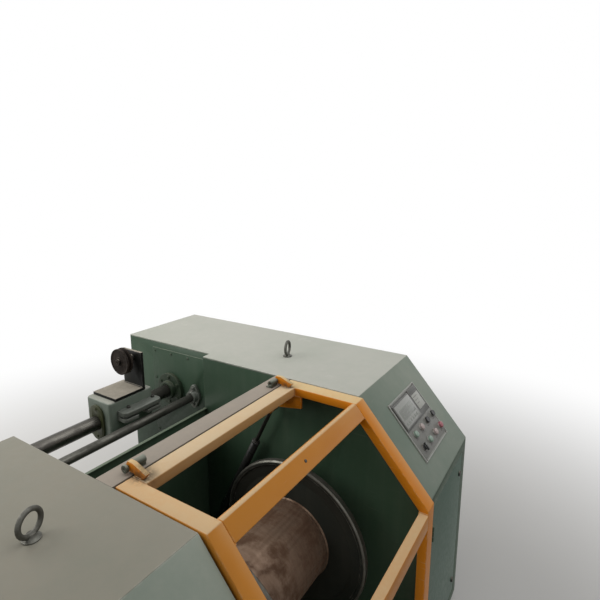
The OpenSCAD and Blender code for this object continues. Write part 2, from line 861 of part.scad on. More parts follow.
// Upright two-bolt flange bearing around the thin shaft
module traverse_bearing() {
  ear_r = 16;
  plate = cover_x - bearing_t;
  color("dimgray") difference() {
    union() {
      hull() {
        bar_x(plate, cover_x, screw_y, shaft_z, screw_r + hub_wall + 4);
        for (z = [shaft_z - bearing_bolt, shaft_z + bearing_bolt]) bar_x(plate, cover_x, screw_y, z, ear_r);
      }
      bar_x(plate - hub_l, cover_x, screw_y, shaft_z, screw_r + hub_wall - 4);
    }
    bar_x(plate - hub_l - 1, cover_x + 1, screw_y, shaft_z, screw_r + running);
  }
}

// Bracket behind the left housing that holds the other end of both shafts
module shaft_stand() {
  foot_t = 10;
  end_y = guide_y + guide_r + stand_wall;
  top = shaft_z + guide_r + stand_wall;
  low = shaft_z - guide_r - stand_wall;
  color("seagreen") difference() {
    union() {
      prism_x(shaft_x0, stand_x1, [
        [step_y + foot_t, low - 5 * stand_wall], [step_y + foot_t, top], [end_y, top],
        [end_y, low], [screw_y + stand_wall, low - 3 * stand_wall]
      ]);
      block([shaft_x0 - stand_t, step_y, low - 6 * stand_wall], [stand_x1 + stand_t, step_y + foot_t, top]);
    }
    bar_x(shaft_x0 - 1, stand_x1 + 1, guide_y, shaft_z, guide_r + running);
    bar_x(shaft_x0 - 1, stand_x1 + 1, screw_y, shaft_z, screw_r + running);
  }
}

// Block that slides on the thick shaft, with rounded upright edges
module carriage_body() {
  r = carriage_round;
  color("cadetblue") difference() {
    translate([0, 0, shaft_z - carriage_down]) linear_extrude(carriage_up + carriage_down) hull()
      for (x = [car_x0 + r, car_x1 - r], y = [car_y0 + r, car_y1 - r]) translate([x, y]) circle(r = r);
    bar_x(car_x0 - 1, car_x1 + 1, guide_y, shaft_z, guide_r + bush_t);
  }
}

// Flanged bush at each end of the carriage
module carriage_bushes() {
  color("darkolivegreen") for (end = [[car_x0 - disc_t, car_x0 + bush_l, car_x0 - disc_t],
                                     [car_x1 - bush_l, car_x1 + disc_t, car_x1]])
    difference() {
      union() {
        bar_x(end[0], end[1], guide_y, shaft_z, guide_r + bush_t - running);
        hull() for (z = [shaft_z - bush_reach + bush_r, shaft_z + bush_reach - bush_r])
          bar_x(end[2], end[2] + disc_t, guide_y, z, bush_r);
      }
      bar_x(end[0] - 1, end[1] + 1, guide_y, shaft_z, guide_r + running);
    }
}

// Angle plate on the carriage with the pulley's pin welded to its upright
module pulley_bracket() {
  head_x = pulley_x0 - side_gap - 5;
  color("black") {
    block([bracket_x0, bracket_y0, car_top], [bracket_x1, bracket_y1, car_top + bracket_t]);
    block([upright_x, bracket_y0, car_top],
            [bracket_x1, bracket_y0 + upright_w, car_top + bracket_h]);
    bar_x(head_x, upright_x, pulley_y, pulley_z, pulley_pin_r);
    bar_x(pulley_x1 + side_gap, upright_x, pulley_y, pulley_z, pulley_pin_r + 6);
    bar_x(head_x, pulley_x0 - side_gap, pulley_y, pulley_z, pulley_pin_r + 3);
  }
}

// Split lug on the carriage's front, above the thin shaft, its lower plate in two halves
module shaft_clamp() {
  r = clamp_round;
  x0 = car_x0 + 31;
  x1 = car_x1 + 6;
  y0 = screw_y + screw_r;
  z0 = shaft_z + clamp_up;
  root_y = car_y0 - 12;
  slit_z = z0 + clamp_low;
  open_x = x0 + 65;
  color("slategray") difference() {
    translate([0, 0, z0]) linear_extrude(clamp_h) hull() {
      for (x = [x0 + r, x1 - r]) translate([x, y0 + r]) circle(r = r);
      translate([x0, root_y]) square([x1 - x0, car_y0 - root_y]);
    }
    block([x0 - 1, y0 - 1, slit_z], [x1 + 1, root_y, slit_z + slit_w]);
    block([open_x, y0 - 1, z0 - 1], [open_x + clamp_open, root_y, slit_z + 1]);
  }
}

// Grooved pulley that turns on the bracket's pin
module guide_pulley() {
  color("sienna") translate([pulley_x0, pulley_y, pulley_z]) rotate([0, 90, 0]) rotate_extrude() polygon([
    [pulley_pin_r + running, 0],
    [pulley_r, 0],
    [pulley_r, pulley_w * 0.32],
    [groove_r, pulley_w * 0.45],
    [groove_r, pulley_w * 0.55],
    [pulley_r, pulley_w * 0.68],
    [pulley_r, pulley_w],
    [pulley_pin_r + running, pulley_w]
  ]);
}

// Lifting eye on each top plate
module eyebolts() {
  wire_r = 8;
  ring_r = 28;
  color("dimgray") for (p = [[right_mid - right_eye_x, front_y + right_eye_y],
                             [left_mid, front_y + left_eye_y]])
    translate([p[0], p[1], case_h]) {
      cylinder(r = 20, h = 12);
      translate([0, 0, 10 + ring_r]) rotate([90, 0, eye_turn]) rotate_extrude()
        translate([ring_r, 0]) circle(r = wire_r);
    }
}

// Quarter-turn locks and cover screws that stand off the door leaves; those of the rear
// door stand off as far as the guard does in front
module door_locks() {
  low_z = base_h + leaf_border + lock_in;
  high_z = case_h - 2 * leaf_border - lock_in;
  color("black") {
    for (x = [bay_x0 - leaf_border - lock_in, right_x1 - leaf_border - lock_in],
         z = [low_z + lock_in, knee_h - leaf_border - 2 * lock_in])
      translate([x, front_y, z]) rotate([90, 0, 0]) cylinder(r = lock_r, h = lock_out);
    for (z = [low_z + lock_in, high_z - lock_in])
      translate([recess_x + leaf_border + lock_in, rear_y, z]) rotate([-90, 0, 0])
        cylinder(r = lock_r, h = guard_proud);
    for (y = [front_y + slope_run + lock_in, step_y - 2 * leaf_border - lock_in], z = [low_z, high_z])
      bar_x(left_x0 - lock_out, left_x0, y, z, lock_r);
    for (y = [front_y + slope_run + lock_in, rear_y - 2 * leaf_border - lock_in], z = [low_z, high_z])
      bar_x(right_x1, right_x1 + lock_out, y, z, lock_r);
  }
}

left_case();
left_top();
right_case();
rear_case();
right_top();
slope_covers();
front_doors();
end_covers();
rear_door();
drive_cover();
base_frame();
bay_floor();
back_panel();
hinge_beam();
control_plate();
display();
push_buttons();
guard_rear_rail();
guard_left_arch();
guard_right_arch();
guard_crest_bar();
guard_front_bars();
strut_lever();
hinge_lugs();
hinge_straps();
strut_bracket();
strut_cylinder();
strut_rod();
spool_flanges();
spool_barrel();
drive_spindle();
drive_flange();
tail_pintle();
tail_quill();
guide_shaft();
guide_flange();
traverse_shaft();
traverse_bearing();
shaft_stand();
carriage_body();
carriage_bushes();
pulley_bracket();
shaft_clamp();
guide_pulley();
eyebolts();
door_locks();
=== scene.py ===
"""Looks of a wire drawing machine's take-up block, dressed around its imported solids."""
import json
import logging
import math
from dataclasses import dataclass, replace
from enum import Enum
from typing import Any, Iterable, Sequence

import bmesh
import bpy
import numpy as np
from mathutils import Matrix, Vector

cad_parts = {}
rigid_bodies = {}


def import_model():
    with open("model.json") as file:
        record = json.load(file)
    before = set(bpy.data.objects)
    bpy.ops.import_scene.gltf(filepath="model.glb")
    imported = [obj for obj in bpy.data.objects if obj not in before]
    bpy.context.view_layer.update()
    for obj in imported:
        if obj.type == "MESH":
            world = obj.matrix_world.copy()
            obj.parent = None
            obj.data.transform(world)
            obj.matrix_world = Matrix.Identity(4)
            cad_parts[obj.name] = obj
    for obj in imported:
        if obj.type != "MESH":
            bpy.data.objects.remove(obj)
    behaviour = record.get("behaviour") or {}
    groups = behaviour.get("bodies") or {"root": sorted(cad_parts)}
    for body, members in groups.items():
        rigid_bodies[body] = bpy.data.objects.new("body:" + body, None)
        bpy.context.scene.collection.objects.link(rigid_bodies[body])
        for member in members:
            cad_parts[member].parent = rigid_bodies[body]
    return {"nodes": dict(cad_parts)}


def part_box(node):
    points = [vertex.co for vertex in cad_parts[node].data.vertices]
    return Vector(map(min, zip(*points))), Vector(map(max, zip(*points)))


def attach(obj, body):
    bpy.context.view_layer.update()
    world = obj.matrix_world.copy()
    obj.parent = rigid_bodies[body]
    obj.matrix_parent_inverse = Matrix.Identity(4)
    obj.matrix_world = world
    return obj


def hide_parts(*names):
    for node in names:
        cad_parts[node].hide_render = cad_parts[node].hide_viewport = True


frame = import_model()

LOG = logging.getLogger("take_up_block")
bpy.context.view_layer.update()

RGB = tuple[float, float, float]
Point = tuple[float, float, float]
MM = 0.001


class Axis(Enum):
    """Directions that a fastener or a lathed piece can face."""

    X = (1.0, 0.0, 0.0)
    MINUS_X = (-1.0, 0.0, 0.0)
    Y = (0.0, 1.0, 0.0)
    MINUS_Y = (0.0, -1.0, 0.0)
    Z = (0.0, 0.0, 1.0)
    SLOPE = (0.0, -0.753321, 0.657661)

    @property
    def vector(self) -> Vector:
        """The direction as a vector."""
        return Vector(self.value)


def box_mm(node: str) -> tuple[Vector, Vector]:
    """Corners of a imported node's box.

    Args:
        node: The node.

    Returns:
        The lowest and the highest corner, in millimetres.
    """
    low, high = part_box(node)
    return low / MM, high / MM


# --------------------------------------------------------------------------------------
# Node trees
# --------------------------------------------------------------------------------------
class Sock:
    """A node's output that can be used in Python expressions."""

    def __init__(self, tree: "NodeTree", link: bpy.types.NodeSocket) -> None:
        """Keep the tree and the socket.

        Args:
            tree: The tree that new Math nodes go into.
            link: The output socket that this value comes from.
        """
        self.tree = tree
        self.link = link

    def math(self, operation: str, *others: "Sock | float", first: bool = True) -> "Sock":
        """Add one Math node.

        Args:
            operation: The Math node's operation.
            others: The other operands.
            first: Whether this value is the first operand.

        Returns:
            The result.
        """
        values = [self, *others] if first else [*others, self]
        return self.tree.node("ShaderNodeMath", {"operation": operation}, dict(enumerate(values)))

    def __add__(self, other: "Sock | float") -> "Sock":
        """Sum."""
        return self.math("ADD", other)

    def __sub__(self, other: "Sock | float") -> "Sock":
        """Difference."""
        return self.math("SUBTRACT", other)

    def __rsub__(self, other: float) -> "Sock":
        """Reflected difference."""
        return self.math("SUBTRACT", other, first=False)

    def __mul__(self, other: "Sock | float") -> "Sock":
        """Product."""
        return self.math("MULTIPLY", other)

    __radd__ = __add__
    __rmul__ = __mul__

    def __pow__(self, other: float) -> "Sock":
        """Power."""
        return self.math("POWER", other)

    def ramp(self, low: float, high: float, to_low: float = 0.0, to_high: float = 1.0) -> "Sock":
        """Map low..high smoothly to to_low..to_high.

        Args:
            low: Where the ramp starts.
            high: Where it ends.
            to_low: The result at and before its start.
            to_high: The result at and past its end.

        Returns:
            The mapped value.
        """
        settings = {"interpolation_type": "SMOOTHSTEP"}
        ends = {0: self, 1: low, 2: high, 3: to_low, 4: to_high}
        return self.tree.node("ShaderNodeMapRange", settings, ends)


class NodeTree:
    """A node tree that is written as a script: one method adds any node."""

    def __init__(self, tree: bpy.types.NodeTree) -> None:
        """Empty the tree.

        Args:
            tree: The tree to write into.
        """
        self.tree = tree
        tree.nodes.clear()

    def node(self, kind: str, settings: dict[str, Any] | None = None,
             inputs: dict[int | str, Any] | None = None, out: int | str = 0) -> Sock:
        """Add a node.

        Args:
            kind: The node's type.
            settings: Its properties; "stops" holds a colour ramp's positions and colours.
            inputs: The values or links of its sockets, by index or name.
            out: The output that is returned.

        Returns:
            The chosen output.
        """
        node = self.tree.nodes.new(kind)
        for name, value in (settings or {}).items():
            if name == "stops":
                self._set_stops(node.color_ramp, value)
            else:
                setattr(node, name, value)
        for key, value in (inputs or {}).items():
            if isinstance(value, Sock):
                self.tree.links.new(value.link, node.inputs[key])
            else:
                node.inputs[key].default_value = value
        return Sock(self, node.outputs[out]) if len(node.outputs) else Sock(self, None)

    @staticmethod
    def _set_stops(ramp: bpy.types.ColorRamp, stops: Sequence[tuple[float, RGB]]) -> None:
        """Write a colour ramp's stops.

        Args:
            ramp: The ramp.
            stops: Positions and colours.
        """
        while len(ramp.elements) < len(stops):
            ramp.elements.new(0.5)
        for element, (place, colour) in zip(ramp.elements, stops):
            element.position = place
            element.color = (*colour, 1.0)


class Shader(NodeTree):
    """A material that reads Object coordinates."""

    def __init__(self, name: str) -> None:
        """Make the material.

        Args:
            name: The material's name.
        """
        self.material = bpy.data.materials.new(name)
        self.material.use_nodes = True
        super().__init__(self.material.node_tree)
        self.place = self.node("ShaderNodeTexCoord", out="Object")
        self.facing = self.node("ShaderNodeTexCoord", out="Normal")

    def axis(self, vector: Sock, index: int) -> Sock:
        """One component of a vector.

        Args:
            vector: The vector.
            index: 0, 1 or 2.

        Returns:
            The component.
        """
        return self.node("ShaderNodeSeparateXYZ", None, {0: vector}, index)

    def noise(self, scale: float, detail: float = 4.0, stretch: Point = (1.0, 1.0, 1.0),
              shift: float = 0.0, rough: float = 0.55) -> Sock:
        """Noise about 0.5.

        Args:
            scale: Waves per metre.
            detail: Octaves.
            stretch: Factors on the coordinates; under 1 draws the noise out.
            shift: Offset, so that two noises differ.
            rough: Weight of the fine octaves.

        Returns:
            The noise.
        """
        where = self.node("ShaderNodeMapping", {"vector_type": "POINT"},
                          {0: self.place, 1: (shift, shift, shift), 3: stretch})
        return self.node("ShaderNodeTexNoise", None,
                         {"Vector": where, "Scale": scale, "Detail": detail, "Roughness": rough})

    def mix(self, factor: Sock | float, low: Sock | RGB, high: Sock | RGB) -> Sock:
        """Blend two colours.

        Args:
            factor: 0 gives low, 1 gives high.
            low: A colour.
            high: A colour.

        Returns:
            The blend.
        """
        def colour(value: Sock | RGB) -> Sock | tuple[float, float, float, float]:
            """A colour with its alpha, or the link."""
            return value if isinstance(value, Sock) else (*value, 1.0)
        return self.node("ShaderNodeMix", {"data_type": "RGBA"},
                         {0: factor, 6: colour(low), 7: colour(high)}, 2)

    def edges(self, radius: float) -> Sock:
        """Mask of the piece's edges.

        Args:
            radius: How far the mask reaches from an edge, in metres.

        Returns:
            1 on edges, 0 on flat faces.
        """
        soft = self.node("ShaderNodeBevel", {"samples": 4}, {"Radius": radius})
        hard = self.node("ShaderNodeNewGeometry", out="Normal")
        same = self.node("ShaderNodeVectorMath", {"operation": "DOT_PRODUCT"}, {0: soft, 1: hard}, "Value")
        return same.ramp(0.995, 0.90)

    def finish(self, colour: Sock | RGB, roughness: Sock | float, metallic: Sock | float = 0.0,
               height: Sock | None = None, depth: float = 0.0004, **constants: float) -> bpy.types.Material:
        """Close the tree with a shader.

        Args:
            colour: Base colour.
            roughness: Roughness.
            metallic: Metallic.
            height: Height for the bump.
            depth: The bump's depth, in metres.
            constants: Other sockets, with "_" for a space.

        Returns:
            The material.
        """
        inputs: dict[int | str, Any] = {
            "Base Color": colour if isinstance(colour, Sock) else (*colour, 1.0),
            "Roughness": roughness, "Metallic": metallic}
        if height is not None:
            inputs["Normal"] = self.node("ShaderNodeBump", None,
                                         {"Strength": 1.0, "Distance": depth, "Height": height})
        inputs.update({key.replace("_", " "): value for key, value in constants.items()})
        shader = self.node("ShaderNodeBsdfPrincipled", None, inputs)
        self.node("ShaderNodeOutputMaterial", None, {"Surface": shader})
        return self.material


# --------------------------------------------------------------------------------------
# Finishes
# --------------------------------------------------------------------------------------
@dataclass(frozen=True)
class Paint:
    """Machine paint with patches, dust, worn edges and orange peel.

    Attributes:
        name: The material's name.
        colour: The paint.
        patch: The paint where it has faded.
        dust: What lies on faces that look up.
        up: How much of it they hold.
        wall: How much of it runs down upright faces.
        level: How far up a face has to look to hold dust.
        wear: How much of the edges is worn.
        bare: The colour under worn paint.
        roughness: Roughness of clean paint.
        gloss: Specular level.
        reach: How far wear reaches from an edge, in metres.
        streaks: Stretch of the runs on upright faces.
        grime_and_shade: The colour of the dark spots, which hold dirt and painted shade.
        mottle: 1 breaks the dark spots up, 0 leaves them even.
        grime_and_shade_spots: Centre and radius of each dark spot, in millimetres; they paint dirt and
            painted shade, as each finish sets them.
    """

    name: str
    colour: RGB
    patch: RGB
    dust: RGB
    up: float = 0.5
    wall: float = 0.1
    level: float = 0.35
    wear: float = 0.5
    bare: RGB = (0.30, 0.28, 0.25)
    roughness: float = 0.42
    gloss: float = 0.30
    reach: float = 0.005
    streaks: Point = (1.0, 1.0, 0.08)
    grime_and_shade: RGB = (0.060, 0.045, 0.030)
    mottle: float = 1.0
    grime_and_shade_spots: tuple[tuple[Point, float], ...] = ()

    def build(self) -> bpy.types.Material:
        """Make the material."""
        s = Shader(self.name)
        cloud = s.noise(3.0, 5.0, shift=1.7)
        grain = s.noise(60.0, 6.0, shift=4.1, rough=0.7)
        streak = s.noise(26.0, 4.0, self.streaks, shift=7.3)
        looks_up = s.axis(s.facing, 2).ramp(self.level, 0.98)
        dust = looks_up * self.up * cloud.ramp(0.2, 0.75, 0.72, 1.1) \
            + self.wall * streak.ramp(0.35, 0.8) * cloud.ramp(0.3, 0.7, 0.4, 1.0) \
            + looks_up * self.up * grain.ramp(0.35, 0.75, -0.10, 0.10)
        tone = s.mix(cloud.ramp(0.35, 0.68), self.colour, self.patch)
        colour = s.mix(dust, tone, self.dust)
        worn = s.edges(self.reach) * s.noise(38.0, 5.0, shift=2.9).ramp(0.42, 0.62) * self.wear
        colour = s.mix(worn, colour, self.bare)
        scratch = s.noise(9.0, 3.0, (1.0, 1.0, 14.0), shift=5.5).ramp(0.66, 0.70) \
            * s.noise(5.0, 2.0, shift=8.8).ramp(0.45, 0.6)
        colour = s.mix(scratch * 0.25 * self.wear, colour, self.bare)
        # Dark spots: the colour darkens within each spot's radius. The spot mask holds painted shade as well
        # as dirt, as each finish sets it.
        for centre, radius in self.grime_and_shade_spots:
            near = s.node("ShaderNodeVectorMath", {"operation": "DISTANCE"},
                          {0: s.place, 1: tuple(c * MM for c in centre)}, "Value")
            dirt = near.ramp(radius * MM, radius * 0.25 * MM) \
                * grain.ramp(0.30, 0.58, 1.0 - self.mottle, 1.0)
            colour = s.mix(dirt * 0.8, colour, self.grime_and_shade)
        rough = self.roughness + dust * 0.35 + grain.ramp(0.3, 0.7, -0.05, 0.05)
        height = s.noise(420.0, 2.0) * 0.22 + grain * 0.25 - worn * 0.5 - scratch * 0.3 + cloud * 1.5
        return s.finish(colour, rough, 0.0, height, 0.0003, Specular_IOR_Level=self.gloss)


@dataclass(frozen=True)
class Metal:
    """Bare steel or iron: turned or ground, stained, oily or rusty.

    Attributes:
        name: The material's name.
        colour: The clean metal.
        stain: Oil, dirt or rust on it.
        stained: How much of that there is.
        roughness: Roughness of the clean metal.
        metallic: Metallic of the clean metal.
        grain: Stretch of the machining marks.
        grain_scale: Marks per metre.
        bump: Depth of the marks, in metres.
        wear: How much of the edges is rubbed.
        bare: The colour of rubbed edges.
    """

    name: str
    colour: RGB
    stain: RGB
    stained: float = 0.4
    roughness: float = 0.25
    metallic: float = 1.0
    grain: Point = (0.06, 1.0, 1.0)
    grain_scale: float = 220.0
    bump: float = 0.0001
    wear: float = 0.0
    bare: RGB = (0.20, 0.18, 0.16)

    def build(self) -> bpy.types.Material:
        """Make the material."""
        s = Shader(self.name)
        cloud = s.noise(14.0, 6.0, shift=3.3, rough=0.65)
        lines = s.noise(self.grain_scale, 3.0, self.grain, shift=0.6)
        stain = cloud.ramp(0.42, 0.66) * self.stained
        colour = s.mix(lines.ramp(0.3, 0.7, 0.0, 0.35), self.colour, self.stain)
        colour = s.mix(stain, colour, self.stain)
        if self.wear:
            worn = s.edges(0.003) * s.noise(50.0, 5.0, shift=6.1).ramp(0.35, 0.6) * self.wear
            colour = s.mix(worn, colour, self.bare)
        rough = self.roughness + stain * 0.35 + lines.ramp(0.3, 0.7, -0.06, 0.08)
        metal = self.metallic - stain * 0.6 * self.metallic
        return s.finish(colour, rough, metal, lines + cloud * 0.8, self.bump, Specular_IOR_Level=0.25)


@dataclass(frozen=True)
class Plastic:
    """Moulded plastic or rubber with a fine grain and a little dust."""

    name: str
    colour: RGB
    dust: RGB = (0.30, 0.29, 0.27)
    dusty: float = 0.15
    roughness: float = 0.35

    def build(self) -> bpy.types.Material:
        """Make the material."""
        s = Shader(self.name)
        cloud = s.noise(40.0, 5.0, shift=1.1)
        fine = s.noise(900.0, 2.0)
        colour = s.mix(cloud.ramp(0.4, 0.8) * self.dusty, self.colour, self.dust)
        rough = self.roughness + cloud.ramp(0.3, 0.8, 0.0, 0.18)
        return s.finish(colour, rough, 0.0, fine, 0.00008, Coat_Weight=0.15)


@dataclass(frozen=True)
class Concrete:
    """The plain pale floor, which fades to a white backdrop away from the object."""

    name: str
    colour: RGB
    pale: RGB
    fade: tuple[float, float] = (1.4, 4.2)

    def build(self) -> bpy.types.Material:
        """Make the material."""
        s = Shader(self.name)
        cloud = s.noise(0.9, 4.0)
        colour = s.mix(cloud, self.colour, self.pale)
        bump = s.node("ShaderNodeBump", None,
                      {"Strength": 1.0, "Distance": 0.0004, "Height": s.noise(30.0, 3.0)})
        floor = s.node("ShaderNodeBsdfPrincipled", None,
                       {"Base Color": colour, "Roughness": 0.8, "Normal": bump})
        away = s.node("ShaderNodeVectorMath", {"operation": "LENGTH"}, {0: s.place}, "Value")
        away = away.ramp(*self.fade)
        white = s.node("ShaderNodeEmission", None, {0: (1.0, 1.0, 1.0, 1.0), 1: 1.0})
        seen = s.node("ShaderNodeLightPath", out="Is Camera Ray")
        both = s.node("ShaderNodeMixShader", None, {0: seen * away, 1: floor, 2: white})
        s.node("ShaderNodeOutputMaterial", None, {"Surface": both})
        return s.material


# Guard yellow. Its dark spots around the hinges and the lever are partly dirt, partly painted shade.
GUARD = Paint("guard_yellow", (0.50, 0.182, 0.015), (0.54, 0.212, 0.026), (0.54, 0.375, 0.205),
              up=0.95, wall=0.03, level=0.64, gloss=0.24, wear=0.85, bare=(0.60, 0.46, 0.28), roughness=0.36,
              reach=0.004, grime_and_shade=(0.075, 0.055, 0.030),
              grime_and_shade_spots=(((-376, -250, 1142), 50.0), ((283, -254, 1142), 30.0), ((293, -160, 1024), 40.0)))
# The housings' green, darker than the paint is: painted shade for the walls that stand in shade. Its one dark
# spot, kept smooth by the low mottle, is a painted shadow on the recessed wall under the shafts.
BODY = Paint("body_green", (0.040, 0.077, 0.046), (0.052, 0.091, 0.057), (0.25, 0.26, 0.20),
             up=0.60, wall=0.07, gloss=0.25, wear=0.45, bare=(0.20, 0.22, 0.17),
             grime_and_shade=(0.007, 0.013, 0.008), mottle=0.15, grime_and_shade_spots=(((394, 520, 620), 460.0),))


class Finishes:
    """Every finish on the machine, built when first used."""

    ALL = {finish.name: finish for finish in (
        BODY,
        # The body green made lighter for the back panel: painted light, standing in for light that reaches
        # the panel in the bay.
        replace(BODY, name="back_green_painted_light", colour=(0.055, 0.100, 0.062), patch=(0.066, 0.112, 0.072),
                up=0.40, wall=0.10),
        Paint("face_green", (0.138, 0.189, 0.147), (0.175, 0.218, 0.175), (0.33, 0.34, 0.29), up=0.50,
              wall=0.16, wear=0.45, bare=(0.36, 0.37, 0.31)),
        # The slopes' green made darker for the front doors: painted shade, as the doors face away from the
        # light.
        Paint("door_green_painted_shade", (0.070, 0.126, 0.094), (0.088, 0.143, 0.110), (0.19, 0.23, 0.19), up=0.50,
              wall=0.12, wear=0.45, bare=(0.30, 0.32, 0.26)),
        # The right top plate's pale grey is dust plus a painted sheen of window light glancing off it;
        # top_dusty, on the left top plate, is the same dusty top without the sheen.
        Paint("top_grey_dust_and_sheen", (0.31, 0.34, 0.28), (0.35, 0.37, 0.32), (0.47, 0.47, 0.42), up=0.85, wall=0.2,
              wear=0.6, bare=(0.62, 0.62, 0.58), roughness=0.40),
        Paint("top_dusty", (0.147, 0.157, 0.123), (0.19, 0.192, 0.157), (0.238, 0.223, 0.18), up=0.80,
              wall=0.2, wear=0.6, bare=(0.45, 0.45, 0.40), roughness=0.46),
        GUARD,
        # The guard yellow made brighter and more saturated for the right arch, the hinge straps and the
        # lever: painted bounce light, for faces in shade that light thrown back by the yellow paint makes
        # bright orange.
        replace(GUARD, name="guard_painted_bounce_light", colour=(0.64, 0.205, 0.006), patch=(0.67, 0.225, 0.012),
                dust=(0.62, 0.48, 0.26), level=0.56),
        replace(GUARD, name="guard_pale", colour=(0.50, 0.275, 0.10), patch=(0.53, 0.31, 0.13),
                dust=(0.59, 0.455, 0.29)),
        Paint("beam_grey", (0.155, 0.152, 0.130), (0.185, 0.178, 0.155), (0.315, 0.272, 0.225), up=0.95,
              wall=0.15, wear=0.5),
        Paint("black", (0.012, 0.013, 0.012), (0.018, 0.018, 0.016), (0.26, 0.24, 0.20), up=0.90,
              wall=0.04, gloss=0.2, wear=0.35, bare=(0.12, 0.11, 0.10), roughness=0.38),
        Paint("bracket_black", (0.009, 0.010, 0.009), (0.014, 0.014, 0.013), (0.37, 0.335, 0.275), up=1.0,
              wall=0.02, level=0.7, gloss=0.12, wear=0.55, bare=(0.16, 0.15, 0.13), roughness=0.34),
        Paint("strut_black", (0.012, 0.013, 0.012), (0.018, 0.018, 0.017), (0.12, 0.11, 0.10), up=0.3,
              wall=0.05, wear=0.2, bare=(0.10, 0.10, 0.09), roughness=0.30),
        Paint("olive", (0.034, 0.040, 0.014), (0.046, 0.052, 0.020), (0.11, 0.11, 0.065), up=0.3,
              wall=0.08, gloss=0.2, wear=0.45, bare=(0.13, 0.13, 0.10), roughness=0.32),
        # A darker green for the guide shaft's flange: painted shade, as the flange lies in the shade under
        # the top plate.
        Paint("flange_green_painted_shade", (0.023, 0.038, 0.022), (0.033, 0.049, 0.029), (0.10, 0.105, 0.07), up=0.45,
              wall=0.06, gloss=0.2, wear=0.5, bare=(0.12, 0.14, 0.10), roughness=0.36),
        Paint("hinge_green", (0.040, 0.050, 0.037), (0.060, 0.068, 0.050), (0.27, 0.28, 0.23), up=0.75,
              wall=0.06, wear=0.8, bare=(0.24, 0.24, 0.20), roughness=0.40),
        # The spool's flange discs: dark paint, darkened further to the colour of the shade in the bay, so
        # paint and painted shade.
        Paint("spool_dark_painted_shade", (0.022, 0.026, 0.022), (0.034, 0.034, 0.028), (0.11, 0.095, 0.065), up=0.35,
              wall=0.10, gloss=0.2, wear=0.8, bare=(0.18, 0.17, 0.15), reach=0.006),
        Paint("plate_grey", (0.26, 0.27, 0.24), (0.31, 0.315, 0.285), (0.34, 0.34, 0.30), up=0.4,
              wall=0.1, wear=0.6, bare=(0.62, 0.62, 0.58)),
        Metal("guide_steel", (0.112, 0.107, 0.094), (0.044, 0.038, 0.034), stained=0.45, roughness=0.28,
              metallic=0.95),
        Metal("dull_steel", (0.106, 0.104, 0.090), (0.045, 0.043, 0.036), stained=0.6, roughness=0.38,
              metallic=0.8),
        Metal("dark_steel", (0.085, 0.084, 0.077), (0.042, 0.036, 0.029), stained=0.6, roughness=0.42,
              metallic=0.75, grain=(1.0, 1.0, 1.0), grain_scale=90.0),
        Metal("eye_steel", (0.120, 0.120, 0.105), (0.055, 0.050, 0.040), stained=0.5, roughness=0.45,
              metallic=0.6, grain=(1.0, 1.0, 1.0), grain_scale=90.0, wear=0.5, bare=(0.24, 0.23, 0.20)),
        Metal("rim_steel", (0.140, 0.138, 0.120), (0.060, 0.053, 0.042), stained=0.55, roughness=0.36,
              metallic=0.85, grain=(1.0, 0.3, 0.3), grain_scale=120.0, wear=0.5, bare=(0.32, 0.31, 0.28)),
        Metal("zinc", (0.30, 0.30, 0.28), (0.12, 0.10, 0.08), stained=0.5, roughness=0.38,
              grain=(1.0, 1.0, 1.0), grain_scale=180.0),
        Metal("rust", (0.019, 0.0115, 0.007), (0.010, 0.0075, 0.0055), stained=0.8, roughness=0.62,
              metallic=0.1, grain=(1.0, 1.0, 1.0), grain_scale=70.0, bump=0.0006, wear=0.9,
              bare=(0.085, 0.065, 0.048)),
        Metal("barrel", (0.22, 0.150, 0.105), (0.095, 0.050, 0.028), stained=0.9, roughness=0.5,
              metallic=0.45, grain=(1.0, 0.25, 0.25), grain_scale=60.0, bump=0.0004),
        Metal("lug_steel", (0.185, 0.198, 0.175), (0.105, 0.114, 0.096), stained=0.7, roughness=0.45,
              metallic=0.4, grain=(1.0, 1.0, 1.0), grain_scale=110.0, wear=0.5, bare=(0.27, 0.27, 0.24)),
        Paint("carriage_green", (0.152, 0.186, 0.152), (0.176, 0.208, 0.172), (0.33, 0.33, 0.285),
              up=0.95, wall=0.22, wear=0.6, bare=(0.30, 0.30, 0.27), roughness=0.36),
        Paint("frame_white", (0.40, 0.41, 0.385), (0.44, 0.44, 0.415), (0.36, 0.35, 0.32), up=0.2,
              wall=0.1, wear=0.5, bare=(0.30, 0.30, 0.28)),
        Plastic("field_grey", (0.080, 0.082, 0.074), roughness=0.45),
        Plastic("glass_grey", (0.23, 0.245, 0.215), roughness=0.14, dusty=0.2),
        Plastic("screen_case", (0.13, 0.13, 0.12), roughness=0.45),
        Plastic("screen", (0.30, 0.305, 0.28), roughness=0.16, dusty=0.3),
        Plastic("label_white", (0.40, 0.405, 0.365), roughness=0.4, dusty=0.3),
        Plastic("field_mid", (0.155, 0.155, 0.140), roughness=0.45, dusty=0.3),
        Plastic("label_grey", (0.12, 0.115, 0.105), roughness=0.4),
        Plastic("legend", (0.19, 0.185, 0.175), roughness=0.4),
        Plastic("knob", (0.012, 0.012, 0.012), roughness=0.32, dusty=0.04),
        Plastic("lamp_green", (0.24, 0.33, 0.265), roughness=0.2),
        Plastic("lamp_white", (0.40, 0.325, 0.305), roughness=0.2),
        Plastic("lamp_red", (0.36, 0.10, 0.12), roughness=0.25),
        Concrete("floor", (0.56, 0.55, 0.53), (0.62, 0.61, 0.59)),
    )}
    _made: dict[str, bpy.types.Material] = {}

    @classmethod
    def get(cls, name: str) -> bpy.types.Material:
        """The material of that name."""
        if name not in cls._made:
            cls._made[name] = cls.ALL[name].build()
        return cls._made[name]


